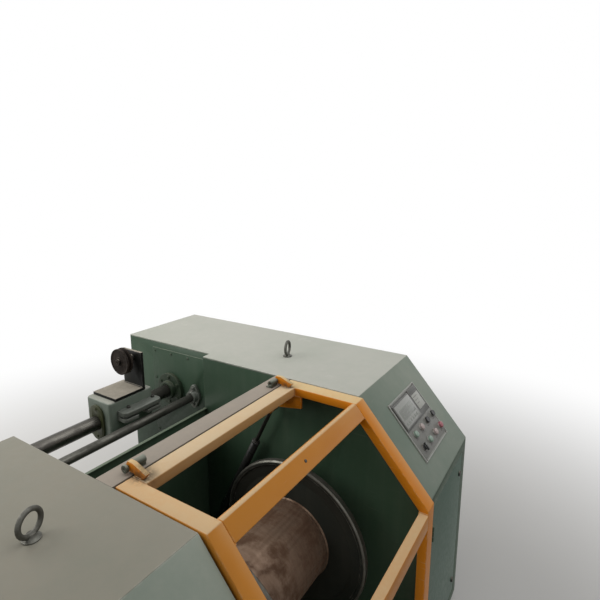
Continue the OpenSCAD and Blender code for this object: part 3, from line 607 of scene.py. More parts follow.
# --------------------------------------------------------------------------------------
# Meshes
# --------------------------------------------------------------------------------------
class Maker:
    """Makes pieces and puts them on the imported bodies."""

    @staticmethod
    def piece(name: str, mesh: bpy.types.Mesh, finish: str, slot: str, body: str,
              replaces: Iterable[str] = ()) -> bpy.types.Object:
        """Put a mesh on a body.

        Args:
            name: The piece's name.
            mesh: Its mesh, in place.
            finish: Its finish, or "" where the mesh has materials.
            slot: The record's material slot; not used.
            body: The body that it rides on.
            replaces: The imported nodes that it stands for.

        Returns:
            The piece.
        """
        obj = bpy.data.objects.new(name, mesh)
        bpy.context.scene.collection.objects.link(obj)
        if finish:
            mesh.materials.clear()
            mesh.materials.append(Finishes.get(finish))
        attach(obj, body)
        nodes = list(replaces)
        if nodes:
            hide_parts(*nodes)
        LOG.info("%s: %d faces on %s", name, len(mesh.polygons), body)
        return obj

    @staticmethod
    def from_bmesh(shape: bmesh.types.BMesh, name: str, smooth: float | None = 35.0) -> bpy.types.Mesh:
        """Close a bmesh into a mesh.

        Args:
            shape: The bmesh; it is freed.
            name: The mesh's name.
            smooth: Angle in degrees up to which edges are shaded smooth, or None for flat faces.

        Returns:
            The mesh.
        """
        if smooth is not None:
            for edge in shape.edges:
                faces = edge.link_faces
                sharp = len(faces) == 2 and faces[0].normal.angle(faces[1].normal, 0.0) > math.radians(smooth)
                edge.smooth = not sharp
            for face in shape.faces:
                face.smooth = True
        mesh = bpy.data.meshes.new(name)
        shape.to_mesh(mesh)
        shape.free()
        return mesh

    @classmethod
    def turned(cls, name: str, profile: Sequence[tuple[float, float]], centres: Sequence[Point],
               axis: Vector, steps: int) -> bpy.types.Mesh:
        """Turn a closed profile around an axis, once at each centre.

        Args:
            name: The mesh's name.
            profile: Radius and height of each point, in millimetres.
            centres: Where height 0 lies on the axis, in millimetres.
            axis: The direction of growing height.
            steps: Divisions of the turn.

        Returns:
            The mesh.
        """
        shape = bmesh.new()
        turn = Vector((0, 0, 1)).rotation_difference(axis).to_matrix().to_4x4()
        count = len(profile)
        for centre in centres:
            place = Matrix.Scale(MM, 4) @ Matrix.Translation(centre) @ turn
            rings = []
            for i in range(steps):
                a = 2 * math.pi * i / steps
                rings.append([shape.verts.new(place @ Vector((r * math.cos(a), r * math.sin(a), h)))
                              for r, h in profile])
            for i in range(steps):
                one, two = rings[i], rings[(i + 1) % steps]
                for j in range(count):
                    k = (j + 1) % count
                    if profile[j][0] > 0 or profile[k][0] > 0:
                        shape.faces.new((one[j], two[j], two[k], one[k]))
        bmesh.ops.remove_doubles(shape, verts=shape.verts, dist=2e-6)
        bmesh.ops.recalc_face_normals(shape, faces=shape.faces)
        return cls.from_bmesh(shape, name)

    @classmethod
    def lathe(cls, name: str, profile: Sequence[tuple[float, float]], centres: Sequence[Point], axis: Vector,
              steps: int, finish: str, slot: str, body: str, replaces: Iterable[str] = ()) -> None:
        """Turn a profile and put it on a body.

        Args:
            name: The piece's name.
            profile: Radius and height of each point, in millimetres.
            centres: Where height 0 lies on the axis, in millimetres.
            axis: The direction of growing height.
            steps: Divisions of the turn.
            finish: Its finish.
            slot: The record's material slot.
            body: The body that it rides on.
            replaces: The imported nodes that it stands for.
        """
        cls.piece(name, cls.turned(name, profile, centres, axis, steps), finish, slot, body, replaces)

    @classmethod
    def slabs(cls, name: str, slabs: Sequence["Slab"]) -> bpy.types.Mesh:
        """Join small rounded plates into one mesh.

        Args:
            name: The mesh's name.
            slabs: The plates.

        Returns:
            The mesh.
        """
        shape = bmesh.new()
        for slab in slabs:
            one = bmesh.new()
            bmesh.ops.create_cube(one, size=1.0, matrix=Matrix.Diagonal((*slab.size, 1.0)))
            bmesh.ops.bevel(one, geom=list(one.edges), offset=min(slab.edge, min(slab.size) * 0.45),
                            segments=2, profile=0.5, affect="EDGES")
            tilt = Matrix.Rotation(math.radians(slab.tilt), 4, "X")
            one.transform(Matrix.Scale(MM, 4) @ Matrix.Translation(slab.centre) @ tilt)
            part = bpy.data.meshes.new("slab")
            one.to_mesh(part)
            one.free()
            shape.from_mesh(part)
            bpy.data.meshes.remove(part)
        return cls.from_bmesh(shape, name)

    @classmethod
    def softened(cls, node: str, width: float, segments: int = 2, angle: float = 25.0,
                 crown: float = 0.0) -> bpy.types.Mesh:
        """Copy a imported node's mesh with its edges rounded.

        Args:
            node: The node.
            width: The rounding, in millimetres.
            segments: Faces across the rounding.
            angle: Edges sharper than this are rounded, in degrees.
            crown: A wider rounding around the top face, in millimetres.

        Returns:
            The mesh.
        """
        shape = bmesh.new()
        shape.from_mesh(frame["nodes"][node].data)
        bmesh.ops.remove_doubles(shape, verts=shape.verts, dist=2e-6)
        bmesh.ops.dissolve_limit(shape, angle_limit=math.radians(0.4), verts=shape.verts, edges=shape.edges)
        if crown:
            top = max(v.co.z for v in shape.verts) - 1e-5
            rim = [e for e in shape.edges if all(v.co.z > top for v in e.verts)]
            bmesh.ops.bevel(shape, geom=rim, offset=crown * MM, segments=4, profile=0.5, affect="EDGES")
        mesh = bpy.data.meshes.new(node)
        shape.to_mesh(mesh)
        shape.free()
        mesh.polygons.foreach_set("use_smooth", [True] * len(mesh.polygons))
        holder = bpy.data.objects.new(f"holder_{node}", mesh)
        bpy.context.scene.collection.objects.link(holder)
        bevel = holder.modifiers.new("rounding", "BEVEL")
        bevel.width = width * MM
        bevel.segments = segments
        bevel.limit_method = "ANGLE"
        bevel.angle_limit = math.radians(angle)
        bevel.harden_normals = True
        result = cls.evaluated(holder, f"{node}_soft")
        bpy.data.objects.remove(holder)
        return result

    @classmethod
    def dress(cls, skins: Iterable["Skin"]) -> None:
        """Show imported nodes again, with rounded edges and their finishes.

        Args:
            skins: What each node gets.
        """
        for skin in skins:
            mesh = cls.softened(skin.node, skin.width, skin.segments, crown=skin.crown)
            cls.piece(f"{skin.node}_{skin.suffix}", mesh, skin.finish, skin.slot, skin.body, [skin.node])

    @staticmethod
    def evaluated(holder: bpy.types.Object, name: str) -> bpy.types.Mesh:
        """The mesh that an object's modifiers give.

        Args:
            holder: The object.
            name: The new mesh's name.

        Returns:
            The mesh, without modifiers.
        """
        graph = bpy.context.evaluated_depsgraph_get()
        graph.update()
        mesh = bpy.data.meshes.new_from_object(holder.evaluated_get(graph), depsgraph=graph)
        mesh.name = name
        return mesh


class GeoTree(NodeTree):
    """A Geometry Nodes tree with named inputs."""

    def __init__(self, name: str, inputs: dict[str, tuple[str, Any]]) -> None:
        """Make the tree.

        Args:
            name: The tree's name.
            inputs: Socket type and default of each input, by name.
        """
        group = bpy.data.node_groups.new(name, "GeometryNodeTree")
        super().__init__(group)
        group.interface.new_socket("Geometry", in_out="INPUT", socket_type="NodeSocketGeometry")
        group.interface.new_socket("Geometry", in_out="OUTPUT", socket_type="NodeSocketGeometry")
        self.ids: dict[str, str] = {}
        for label, (kind, default) in inputs.items():
            item = group.interface.new_socket(label, in_out="INPUT", socket_type=kind)
            if default is not None:
                item.default_value = default
            self.ids[label] = item.identifier
        self.entry = self.tree.nodes.new("NodeGroupInput")

    def given(self, name: str) -> Sock:
        """The input of that name."""
        return Sock(self, self.entry.outputs[name])

    def close(self, geometry: Sock, material: Sock) -> None:
        """Realize, set the material and end the tree.

        Args:
            geometry: What the tree made.
            material: The material's socket.
        """
        real = self.node("GeometryNodeRealizeInstances", None, {0: geometry})
        done = self.node("GeometryNodeSetMaterial", None, {"Geometry": real, "Material": material})
        self.node("NodeGroupOutput", None, {0: done})

    def run(self, source: bpy.types.Mesh, name: str, values: dict[str, Any]) -> bpy.types.Mesh:
        """Run the tree on a mesh.

        Args:
            source: The mesh that goes in.
            name: The new mesh's name.
            values: The inputs, by name.

        Returns:
            A plain mesh.
        """
        holder = bpy.data.objects.new(f"holder_{name}", source)
        bpy.context.scene.collection.objects.link(holder)
        modifier = holder.modifiers.new("nodes", "NODES")
        modifier.node_group = self.tree
        for label, value in values.items():
            modifier[self.ids[label]] = value
        holder.update_tag()
        mesh = Maker.evaluated(holder, name)
        bpy.data.objects.remove(holder)
        return mesh


class FastenerTree(GeoTree):
    """Hexagon heads on washers, one at each point, along the point's own axis."""

    def __init__(self) -> None:
        """Write the tree."""
        super().__init__("fasteners", {
            "Head Radius": ("NodeSocketFloat", 0.008), "Head Height": ("NodeSocketFloat", 0.006),
            "Washer Radius": ("NodeSocketFloat", 0.011), "Washer Height": ("NodeSocketFloat", 0.0015),
            "Sides": ("NodeSocketInt", 6), "Material": ("NodeSocketMaterial", None)})
        radius, height = self.given("Head Radius"), self.given("Head Height")
        flat = self.given("Washer Height")
        shank = self.node("GeometryNodeMeshCylinder", None,
                          {"Vertices": self.given("Sides"), "Radius": radius, "Depth": height * 0.8}, "Mesh")
        shank = self._raised(shank, flat + height * 0.4)
        cap = self.node("GeometryNodeMeshCone", None, {
            "Vertices": self.given("Sides"), "Radius Top": radius * 0.78, "Radius Bottom": radius,
            "Depth": height * 0.2}, "Mesh")
        cap = self._raised(cap, flat + height * 0.8)
        washer = self.node("GeometryNodeMeshCylinder", None, {
            "Vertices": 20, "Radius": self.given("Washer Radius"), "Depth": flat}, "Mesh")
        washer = self._raised(washer, flat * 0.5)
        join = self.tree.nodes.new("GeometryNodeJoinGeometry")
        for part in (washer, shank, cap):
            self.tree.links.new(part.link, join.inputs[0])
        axis = self.node("GeometryNodeInputNamedAttribute", {"data_type": "FLOAT_VECTOR"}, {"Name": "axis"})
        spin = self.node("GeometryNodeInputNamedAttribute", {"data_type": "FLOAT"}, {"Name": "spin"})
        about = self.node("FunctionNodeAxisAngleToRotation", None, {"Axis": (0, 0, 1), "Angle": spin})
        turned = self.node("FunctionNodeAlignRotationToVector", {"axis": "Z"}, {"Vector": axis})
        turned = self.node("FunctionNodeRotateRotation", {"rotation_space": "LOCAL"}, {0: turned, 1: about})
        placed = self.node("GeometryNodeInstanceOnPoints", None, {
            "Points": self.given("Geometry"), "Instance": Sock(self, join.outputs[0]), "Rotation": turned})
        self.close(placed, self.given("Material"))

    def _raised(self, mesh: Sock, height: Sock) -> Sock:
        """A mesh moved up by height."""
        lift = self.node("ShaderNodeCombineXYZ", None, {2: height})
        return self.node("GeometryNodeTransform", None, {"Geometry": mesh, "Translation": lift})


class WeldTree(GeoTree):
    """A rippled weld bead along the edges of the mesh that goes in."""

    def __init__(self) -> None:
        """Write the tree."""
        super().__init__("weld_beads", {
            "Bead Radius": ("NodeSocketFloat", 0.003), "Ripple Pitch": ("NodeSocketFloat", 0.004),
            "Material": ("NodeSocketMaterial", None)})
        radius = self.given("Bead Radius")
        curve = self.node("GeometryNodeMeshToCurve", None, {0: self.given("Geometry")})
        curve = self.node("GeometryNodeResampleCurve", {"mode": "LENGTH"},
                          {"Curve": curve, "Length": self.given("Ripple Pitch") * 0.5})
        ring = self.node("GeometryNodeCurvePrimitiveCircle", None,
                         {"Resolution": 8, "Radius": radius}, "Curve")
        bead = self.node("GeometryNodeCurveToMesh", None, {"Curve": curve, "Profile Curve": ring,
                                                           "Fill Caps": True})
        place = self.node("GeometryNodeInputPosition")
        wave = self.node("ShaderNodeTexNoise", None, {"Vector": place, "Scale": 260.0, "Detail": 1.0})
        normal = self.node("GeometryNodeInputNormal")
        push = self.node("ShaderNodeVectorMath", {"operation": "SCALE"},
                         {0: normal, "Scale": (wave - 0.5) * radius})
        bead = self.node("GeometryNodeSetPosition", None, {"Geometry": bead, "Offset": push})
        bead = self.node("GeometryNodeSetShadeSmooth", None, {0: bead})
        self.close(bead, self.given("Material"))


@dataclass(frozen=True)
class Bolt:
    """One fastener: where its face is in millimetres, which way it looks and its turn."""

    place: Point
    axis: Axis
    spin: float = 0.0


@dataclass(frozen=True)
class Skin:
    """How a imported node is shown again.

    Attributes:
        node: The node.
        finish: Its finish.
        slot: The record's material slot.
        body: The body that it rides on.
        width: The rounding of its edges, in millimetres.
        segments: Faces across the rounding.
        crown: A wider rounding around its top face, in millimetres.
        suffix: What its name ends with.
    """

    node: str
    finish: str
    slot: str
    body: str
    width: float
    segments: int = 2
    crown: float = 0.0
    suffix: str = "part"


@dataclass(frozen=True)
class Slab:
    """A small rounded plate: centre, size, tilt about X in degrees and edge radius."""

    centre: Point
    size: Point
    tilt: float = 0.0
    edge: float = 0.5


class Workshop:
    """The trees that every sub-assembly shares."""

    def __init__(self) -> None:
        """Make the trees."""
        self.fasteners = FastenerTree()
        self.welds = WeldTree()

    def bolts(self, name: str, bolts: Sequence[Bolt], head: float, body: str, finish: str = "zinc",
              slot: str = "dark_steel", sides: int = 6, washer: float = 1.35, tall: float = 0.7) -> None:
        """Set fasteners.

        Args:
            name: The piece's name.
            bolts: The places.
            head: Radius of the head over its corners, in millimetres.
            body: The body that they ride on.
            finish: Their finish.
            slot: The record's slot.
            sides: Sides of the head.
            washer: Washer radius over head radius.
            tall: Head height over head radius.
        """
        mesh = bpy.data.meshes.new(name)
        mesh.from_pydata([[c * MM for c in b.place] for b in bolts], [], [])
        axis = mesh.attributes.new("axis", "FLOAT_VECTOR", "POINT")
        axis.data.foreach_set("vector", [c for b in bolts for c in b.axis.value])
        spin = mesh.attributes.new("spin", "FLOAT", "POINT")
        spin.data.foreach_set("value", [b.spin for b in bolts])
        result = self.fasteners.run(mesh, name, {
            "Head Radius": head * MM, "Head Height": head * tall * MM, "Washer Radius": head * washer * MM,
            "Washer Height": head * 0.18 * MM, "Sides": sides, "Material": Finishes.get(finish)})
        Maker.piece(name, result, finish, slot, body)

    def weld(self, name: str, runs: Sequence[Sequence[Point]], radius: float, body: str, finish: str,
             slot: str) -> None:
        """Lay weld beads.

        Args:
            name: The piece's name.
            runs: The points of each bead, in millimetres.
            radius: The bead's radius, in millimetres.
            body: The body that they ride on.
            finish: Their finish.
            slot: The record's slot.
        """
        points, edges = [], []
        for run in runs:
            start = len(points)
            points.extend([c * MM for c in point] for point in run)
            edges.extend((start + i, start + i + 1) for i in range(len(run) - 1))
        mesh = bpy.data.meshes.new(name)
        mesh.from_pydata(points, edges, [])
        result = self.welds.run(mesh, name, {"Bead Radius": radius * MM, "Ripple Pitch": 0.004,
                                             "Material": Finishes.get(finish)})
        Maker.piece(name, result, finish, slot, body)


def ring_of(centre: Point, axis: Axis, radius: float, count: int, start: float = 0.0) -> list[Bolt]:
    """Places on a bolt circle around an X axis.

    Args:
        centre: The circle's centre, in millimetres.
        axis: The direction that the heads look.
        radius: The circle's radius, in millimetres.
        count: How many.
        start: Angle of the first, in degrees.

    Returns:
        The places.
    """
    out = []
    for i in range(count):
        a = math.radians(start) + 2 * math.pi * i / count
        place = (centre[0], centre[1] + radius * math.cos(a), centre[2] + radius * math.sin(a))
        out.append(Bolt(place, axis, a))
    return out


# --------------------------------------------------------------------------------------
# Sub-assemblies
# --------------------------------------------------------------------------------------
@dataclass
class SheetMetal:
    """The housings, their covers and the fixed sheets, with rounded edges."""

    shop: Workshop
    fold: float = 1.6

    SKINS = {
        "left_case": ("body_green", "body_paint"), "right_case": ("body_green", "body_paint"),
        "rear_case": ("body_green", "body_paint"), "left_top": ("top_dusty", "top_paint"),
        "right_top": ("top_grey_dust_and_sheen", "top_paint"), "slope_covers": ("face_green", "face_paint"),
        "front_doors": ("door_green_painted_shade", "face_paint"), "end_covers": ("body_green", "body_paint"),
        "rear_door": ("body_green", "body_paint"), "drive_cover": ("body_green", "body_paint"),
        "back_panel": ("back_green_painted_light", "body_paint"), "hinge_beam": ("beam_grey", "beam_paint"),
        "base_frame": ("black", "black_paint"), "bay_floor": ("body_green", "body_paint"),
    }

    def build(self) -> None:
        """Make every skin, its screws and the doors' hinges."""
        Maker.dress(Skin(node, finish, slot, "machine", self.fold, suffix="skin")
                    for node, (finish, slot) in self.SKINS.items())
        self._screws()
        self._door_hinges()

    def _screws(self) -> None:
        """Set the screws of the cover on the recessed wall and of the back panel."""
        low, high = box_mm("drive_cover")
        border = 16
        ys = np.linspace(low.y + border, high.y - border, 4)
        zs = np.linspace(low.z + border, high.z - border, 4)
        rim = {(y, z) for y in ys for z in (zs[0], zs[-1])} | {(y, z) for y in (ys[0], ys[-1]) for z in zs}
        spots = [Bolt((low.x, float(y), float(z)), Axis.MINUS_X, 0.4 * i)
                 for i, (y, z) in enumerate(sorted(rim))]
        self.shop.bolts("cover_screws", spots, 5.0, "machine", "body_green", "body_paint", tall=0.45)
        low, high = box_mm("back_panel")
        spots = [Bolt((float(x), high.y, z), Axis.Y, float(x))
                 for x in np.linspace(low.x + 40, high.x - 40, 6) for z in (low.z + 25, high.z - 25)]
        self.shop.bolts("panel_screws", spots, 6.0, "machine")

    def _door_hinges(self) -> None:
        """Hang the doors on barrel hinges, on the side across from their locks."""
        barrel = [(0, 0), (5.2, 0), (6, 0.8), (6, 19), (5.3, 19.5), (5.3, 20.5), (6, 21), (6, 39),
                  (5.3, 39.5), (5.3, 40.5), (6, 41), (6, 59.2), (5.2, 60), (0, 60)]
        left, right = box_mm("left_case"), box_mm("right_case")
        rear = box_mm("rear_case")
        front_z, rear_z, inset, proud = (200.0, 640.0), (220.0, 850.0), 46.5, 1.5
        pins = [(x, left[0].y - proud, z) for x in (left[0].x + inset, right[0].x + inset) for z in front_z]
        pins += [(rear[1].x - inset, rear[1].y + proud, z) for z in rear_z]
        Maker.lathe("door_hinge_barrels", barrel, pins, Axis.Z.vector, 20, "body_green", "body_paint",
                    "machine")
        leaves = [Slab((x + side * 17, y + (0.9 if y < 0 else -0.9), z + 30), (24, 2.4, 54))
                  for x, y, z in pins for side in (-1, 1)]
        Maker.piece("door_hinge_leaves", Maker.slabs("door_hinge_leaves", leaves), "body_green",
                    "body_paint", "machine")


@dataclass
class Guard:
    """The hinged guard frame, its hinges, lever and strut."""

    shop: Workshop
    corner: float = 3.0
    bar: float = 56.0
    plate_edge: float = 1.2
    fitting_edge: float = 0.8
    pin_inset: float = 11.0
    strap_top: float = 1140.5
    saddle_top: float = 1144.0
    plug_at: Point = (-70.0, -548.6, 1120.0)
    strut_x: float = 317.0
    foot: tuple[float, float] = (197.5, 300.0)
    top: tuple[float, float] = (-160.5, 1024.0)
    shown: float = 200.0

    def build(self) -> None:
        """Make the tubes, welds, hinges and strut."""
        tubes = (("guard_rear_rail", "guard_pale"), ("guard_left_arch", "guard_yellow"),
                 ("guard_right_arch", "guard_painted_bounce_light"), ("guard_crest_bar", "guard_yellow"),
                 ("guard_front_bars", "guard_yellow"))
        Maker.dress(Skin(node, finish, "guard_paint", "guard", self.corner, suffix="tube")
                    for node, finish in tubes)
        Maker.dress(Skin(node, "guard_painted_bounce_light", "guard_paint", "guard", self.plate_edge, suffix="plate")
                    for node in ("strut_lever", "hinge_straps"))
        Maker.dress(Skin(*row, self.fitting_edge, 1) for row in (
            ("hinge_lugs", "hinge_green", "dark_steel", "machine"),
            ("strut_bracket", "dark_steel", "dark_steel", "machine"),
            ("strut_cylinder", "strut_black", "black_paint", "strut_cylinder"),
            ("strut_rod", "guide_steel", "polished_steel", "strut_rod")))
        self._welds()
        self._hinge_details()
        self._strut_details()

    def _welds(self) -> None:
        """Run beads along the joints of the tubes, the straps and the lever."""
        low, high = box_mm("guard_rear_rail")
        ends = (low.x, high.x)
        runs = [[(x, low.y, high.z - 2), (x, low.y, low.z), (x, high.y, low.z)] for x in ends]
        low, high = box_mm("guard_crest_bar")
        runs += [[(x, high.y - 2, high.z - 19), (x, low.y + 26, low.z + 1), (x, low.y, low.z + 20)]
                 for x in ends]
        low, high = box_mm("guard_front_bars")
        for z0, z1 in ((low.z, low.z + self.bar), (high.z - self.bar, high.z)):
            runs += [[(x, low.y + 2, z1), (x, high.y, z1), (x, high.y, z0), (x, low.y + 2, z0)]
                     for x in ends]
        low, high = box_mm("hinge_straps")
        for x in (low.x, low.x + 14, high.x - 14, high.x):
            runs.append([(x, low.y + 16, self.strap_top), (x, low.y + 42, self.strap_top)])
        low, high = box_mm("strut_lever")
        runs += [[(x, low.y + 3, high.z), (x, low.y + 76, high.z)] for x in (low.x, low.x + 10)]
        self.shop.weld("guard_welds", runs, 2.4, "guard", "guard_yellow", "guard_paint")

    def _hinge_details(self) -> None:
        """Cap the hinge pins beside the straps, screw the saddles and plug the crest bar's hole."""
        low, high = box_mm("hinge_lugs")
        y, z = low.y + self.pin_inset, high.z - self.pin_inset
        cap = [(0, 2.4), (10.4, 2.4), (11.6, 3.4), (11.6, 9.6), (10.6, 10.8), (4.6, 10.8), (4.0, 9.4),
               (0, 9.4)]
        for name, x, way in (("left_pin_cap", low.x + 2, Axis.MINUS_X),
                             ("right_pin_cap", high.x - 2, Axis.X)):
            Maker.lathe(name, cap, [(x, y, z)], way.vector, 28, "hinge_green", "dark_steel", "machine")
        spots = [Bolt((x, y + 14.4, self.saddle_top), Axis.Z, 0.3)
                 for x in (low.x + 28, low.x + 46, high.x - 28, high.x - 46)]
        self.shop.bolts("saddle_screws", spots, 3.0, "machine", washer=1.1)
        self.shop.bolts("crest_bar_plug", [Bolt(self.plug_at, Axis.SLOPE)], 4.2, "guard",
                        "dark_steel", "guard_paint", sides=16, washer=1.2, tall=0.3)

    def _strut_details(self) -> None:
        """Add the cylinder's gland and wiper, the eyes' washers and the foot plate's bolts."""
        along = Vector((0, self.top[0] - self.foot[0], self.top[1] - self.foot[1]))
        length = along.length
        along.normalize()
        low, high = box_mm("strut_bracket")
        end = length - self.shown
        gland = [(8.4, end - 4), (17.4, end - 4), (17.9, end - 3), (17.9, end + 1), (16.5, end + 2.5),
                 (13.0, end + 3), (12.0, end + 6), (8.4, end + 7)]
        base = [(11, 34), (17.9, 37), (17.9, 46), (16.9, 47), (11, 47)]
        foot = (self.strut_x, *self.foot)
        Maker.lathe("strut_gland", gland, [foot], along, 40, "strut_black", "black_paint", "strut_cylinder")
        Maker.lathe("strut_base_ring", base, [foot], along, 40, "strut_black", "black_paint",
                    "strut_cylinder")
        ring = [(8.1, 0), (13, 0), (13, 1.5), (8.1, 1.5)]
        Maker.lathe("foot_pin_ring", ring, [(low.x + 1.5, *self.foot)], Axis.X.vector, 24, "zinc",
                    "dark_steel", "machine")
        spots = [Bolt((high.x - 8, y, z), Axis.MINUS_X, 0.2) for y in (low.y + 10, high.y - 10)
                 for z in (low.z + 10, high.z - 10)]
        self.shop.bolts("foot_plate_bolts", spots, 6.5, "machine")


@dataclass
class Spool:
    """The spool, its spindles and their flanges."""

    shop: Workshop
    centre: tuple[float, float] = (-285.5, 531.0)
    edge: float = 1.5
    flange_thickness: float = 18.8
    bolt_circle: float = 125.0

    def build(self) -> None:
        """Make the spool and its carriers."""
        Maker.dress(Skin(*row, self.edge, 1) for row in (
            ("spool_barrel", "barrel", "barrel_steel", "spool"),
            ("drive_spindle", "dark_steel", "dark_steel", "spool"),
            ("tail_pintle", "dark_steel", "dark_steel", "spool"),
            ("tail_quill", "body_green", "body_paint", "machine"),
            ("drive_flange", "body_green", "body_paint", "machine")))
        self._flanges()
        self._bolts()

    def _flanges(self) -> None:
        """Turn the flanges: a pressed disc, its beads, and a bare steel rim around it."""
        low, high = box_mm("spool_flanges")
        disc = [(40, 0.3), (96, 0.3), (100, 1.6), (104, 3.2), (150, 3.2), (154, 1.6), (158, 0.3), (250, 0.3),
                (254, 2.0), (262, 2.0), (266, 0.3), (308, 0.3), (308, 25.2), (299.5, 25.2), (292.5, 18.8),
                (262, 18.8), (258, 17.2), (252, 17.2), (248, 18.8), (166, 18.8), (160, 19.3), (40, 19.3)]
        rim = [(307, 0.1), (313.6, 0.1), (315, 1.4), (315, 20.5), (313.8, 21.4), (310.6, 25.2), (309.6, 25.9),
               (307, 25.9)]
        for finish, name, profile in (("spool_dark_painted_shade", "flange_disc", disc), ("rim_steel", "flange_rim", rim)):
            for side, x, way in (("left", low.x, Axis.X), ("right", high.x, Axis.MINUS_X)):
                replaced = ["spool_flanges"] if side == "left" and name == "flange_disc" else []
                Maker.lathe(f"{side}_{name}", profile, [(x, *self.centre)], way.vector, 160, finish,
                            "spool_paint", "spool", replaced)
        seam = [(159.8, 0), (165.5, 0), (160.8, 4.5)]
        for side, x, way in (("left", low.x + self.flange_thickness, Axis.X),
                             ("right", high.x - self.flange_thickness, Axis.MINUS_X)):
            Maker.lathe(f"{side}_barrel_seam", seam, [(x, *self.centre)], way.vector, 120, "barrel",
                        "barrel_steel", "spool")

    def _bolts(self) -> None:
        """Bolt both wall flanges."""
        drive, tail = box_mm("drive_flange")[0].x, box_mm("tail_quill")[0].x + 20
        spots = ring_of((drive, *self.centre), Axis.MINUS_X, self.bolt_circle, 8, 22.5)
        spots += ring_of((tail, *self.centre), Axis.X, self.bolt_circle, 8, 22.5)
        self.shop.bolts("wall_flange_bolts", spots, 9.0, "machine")


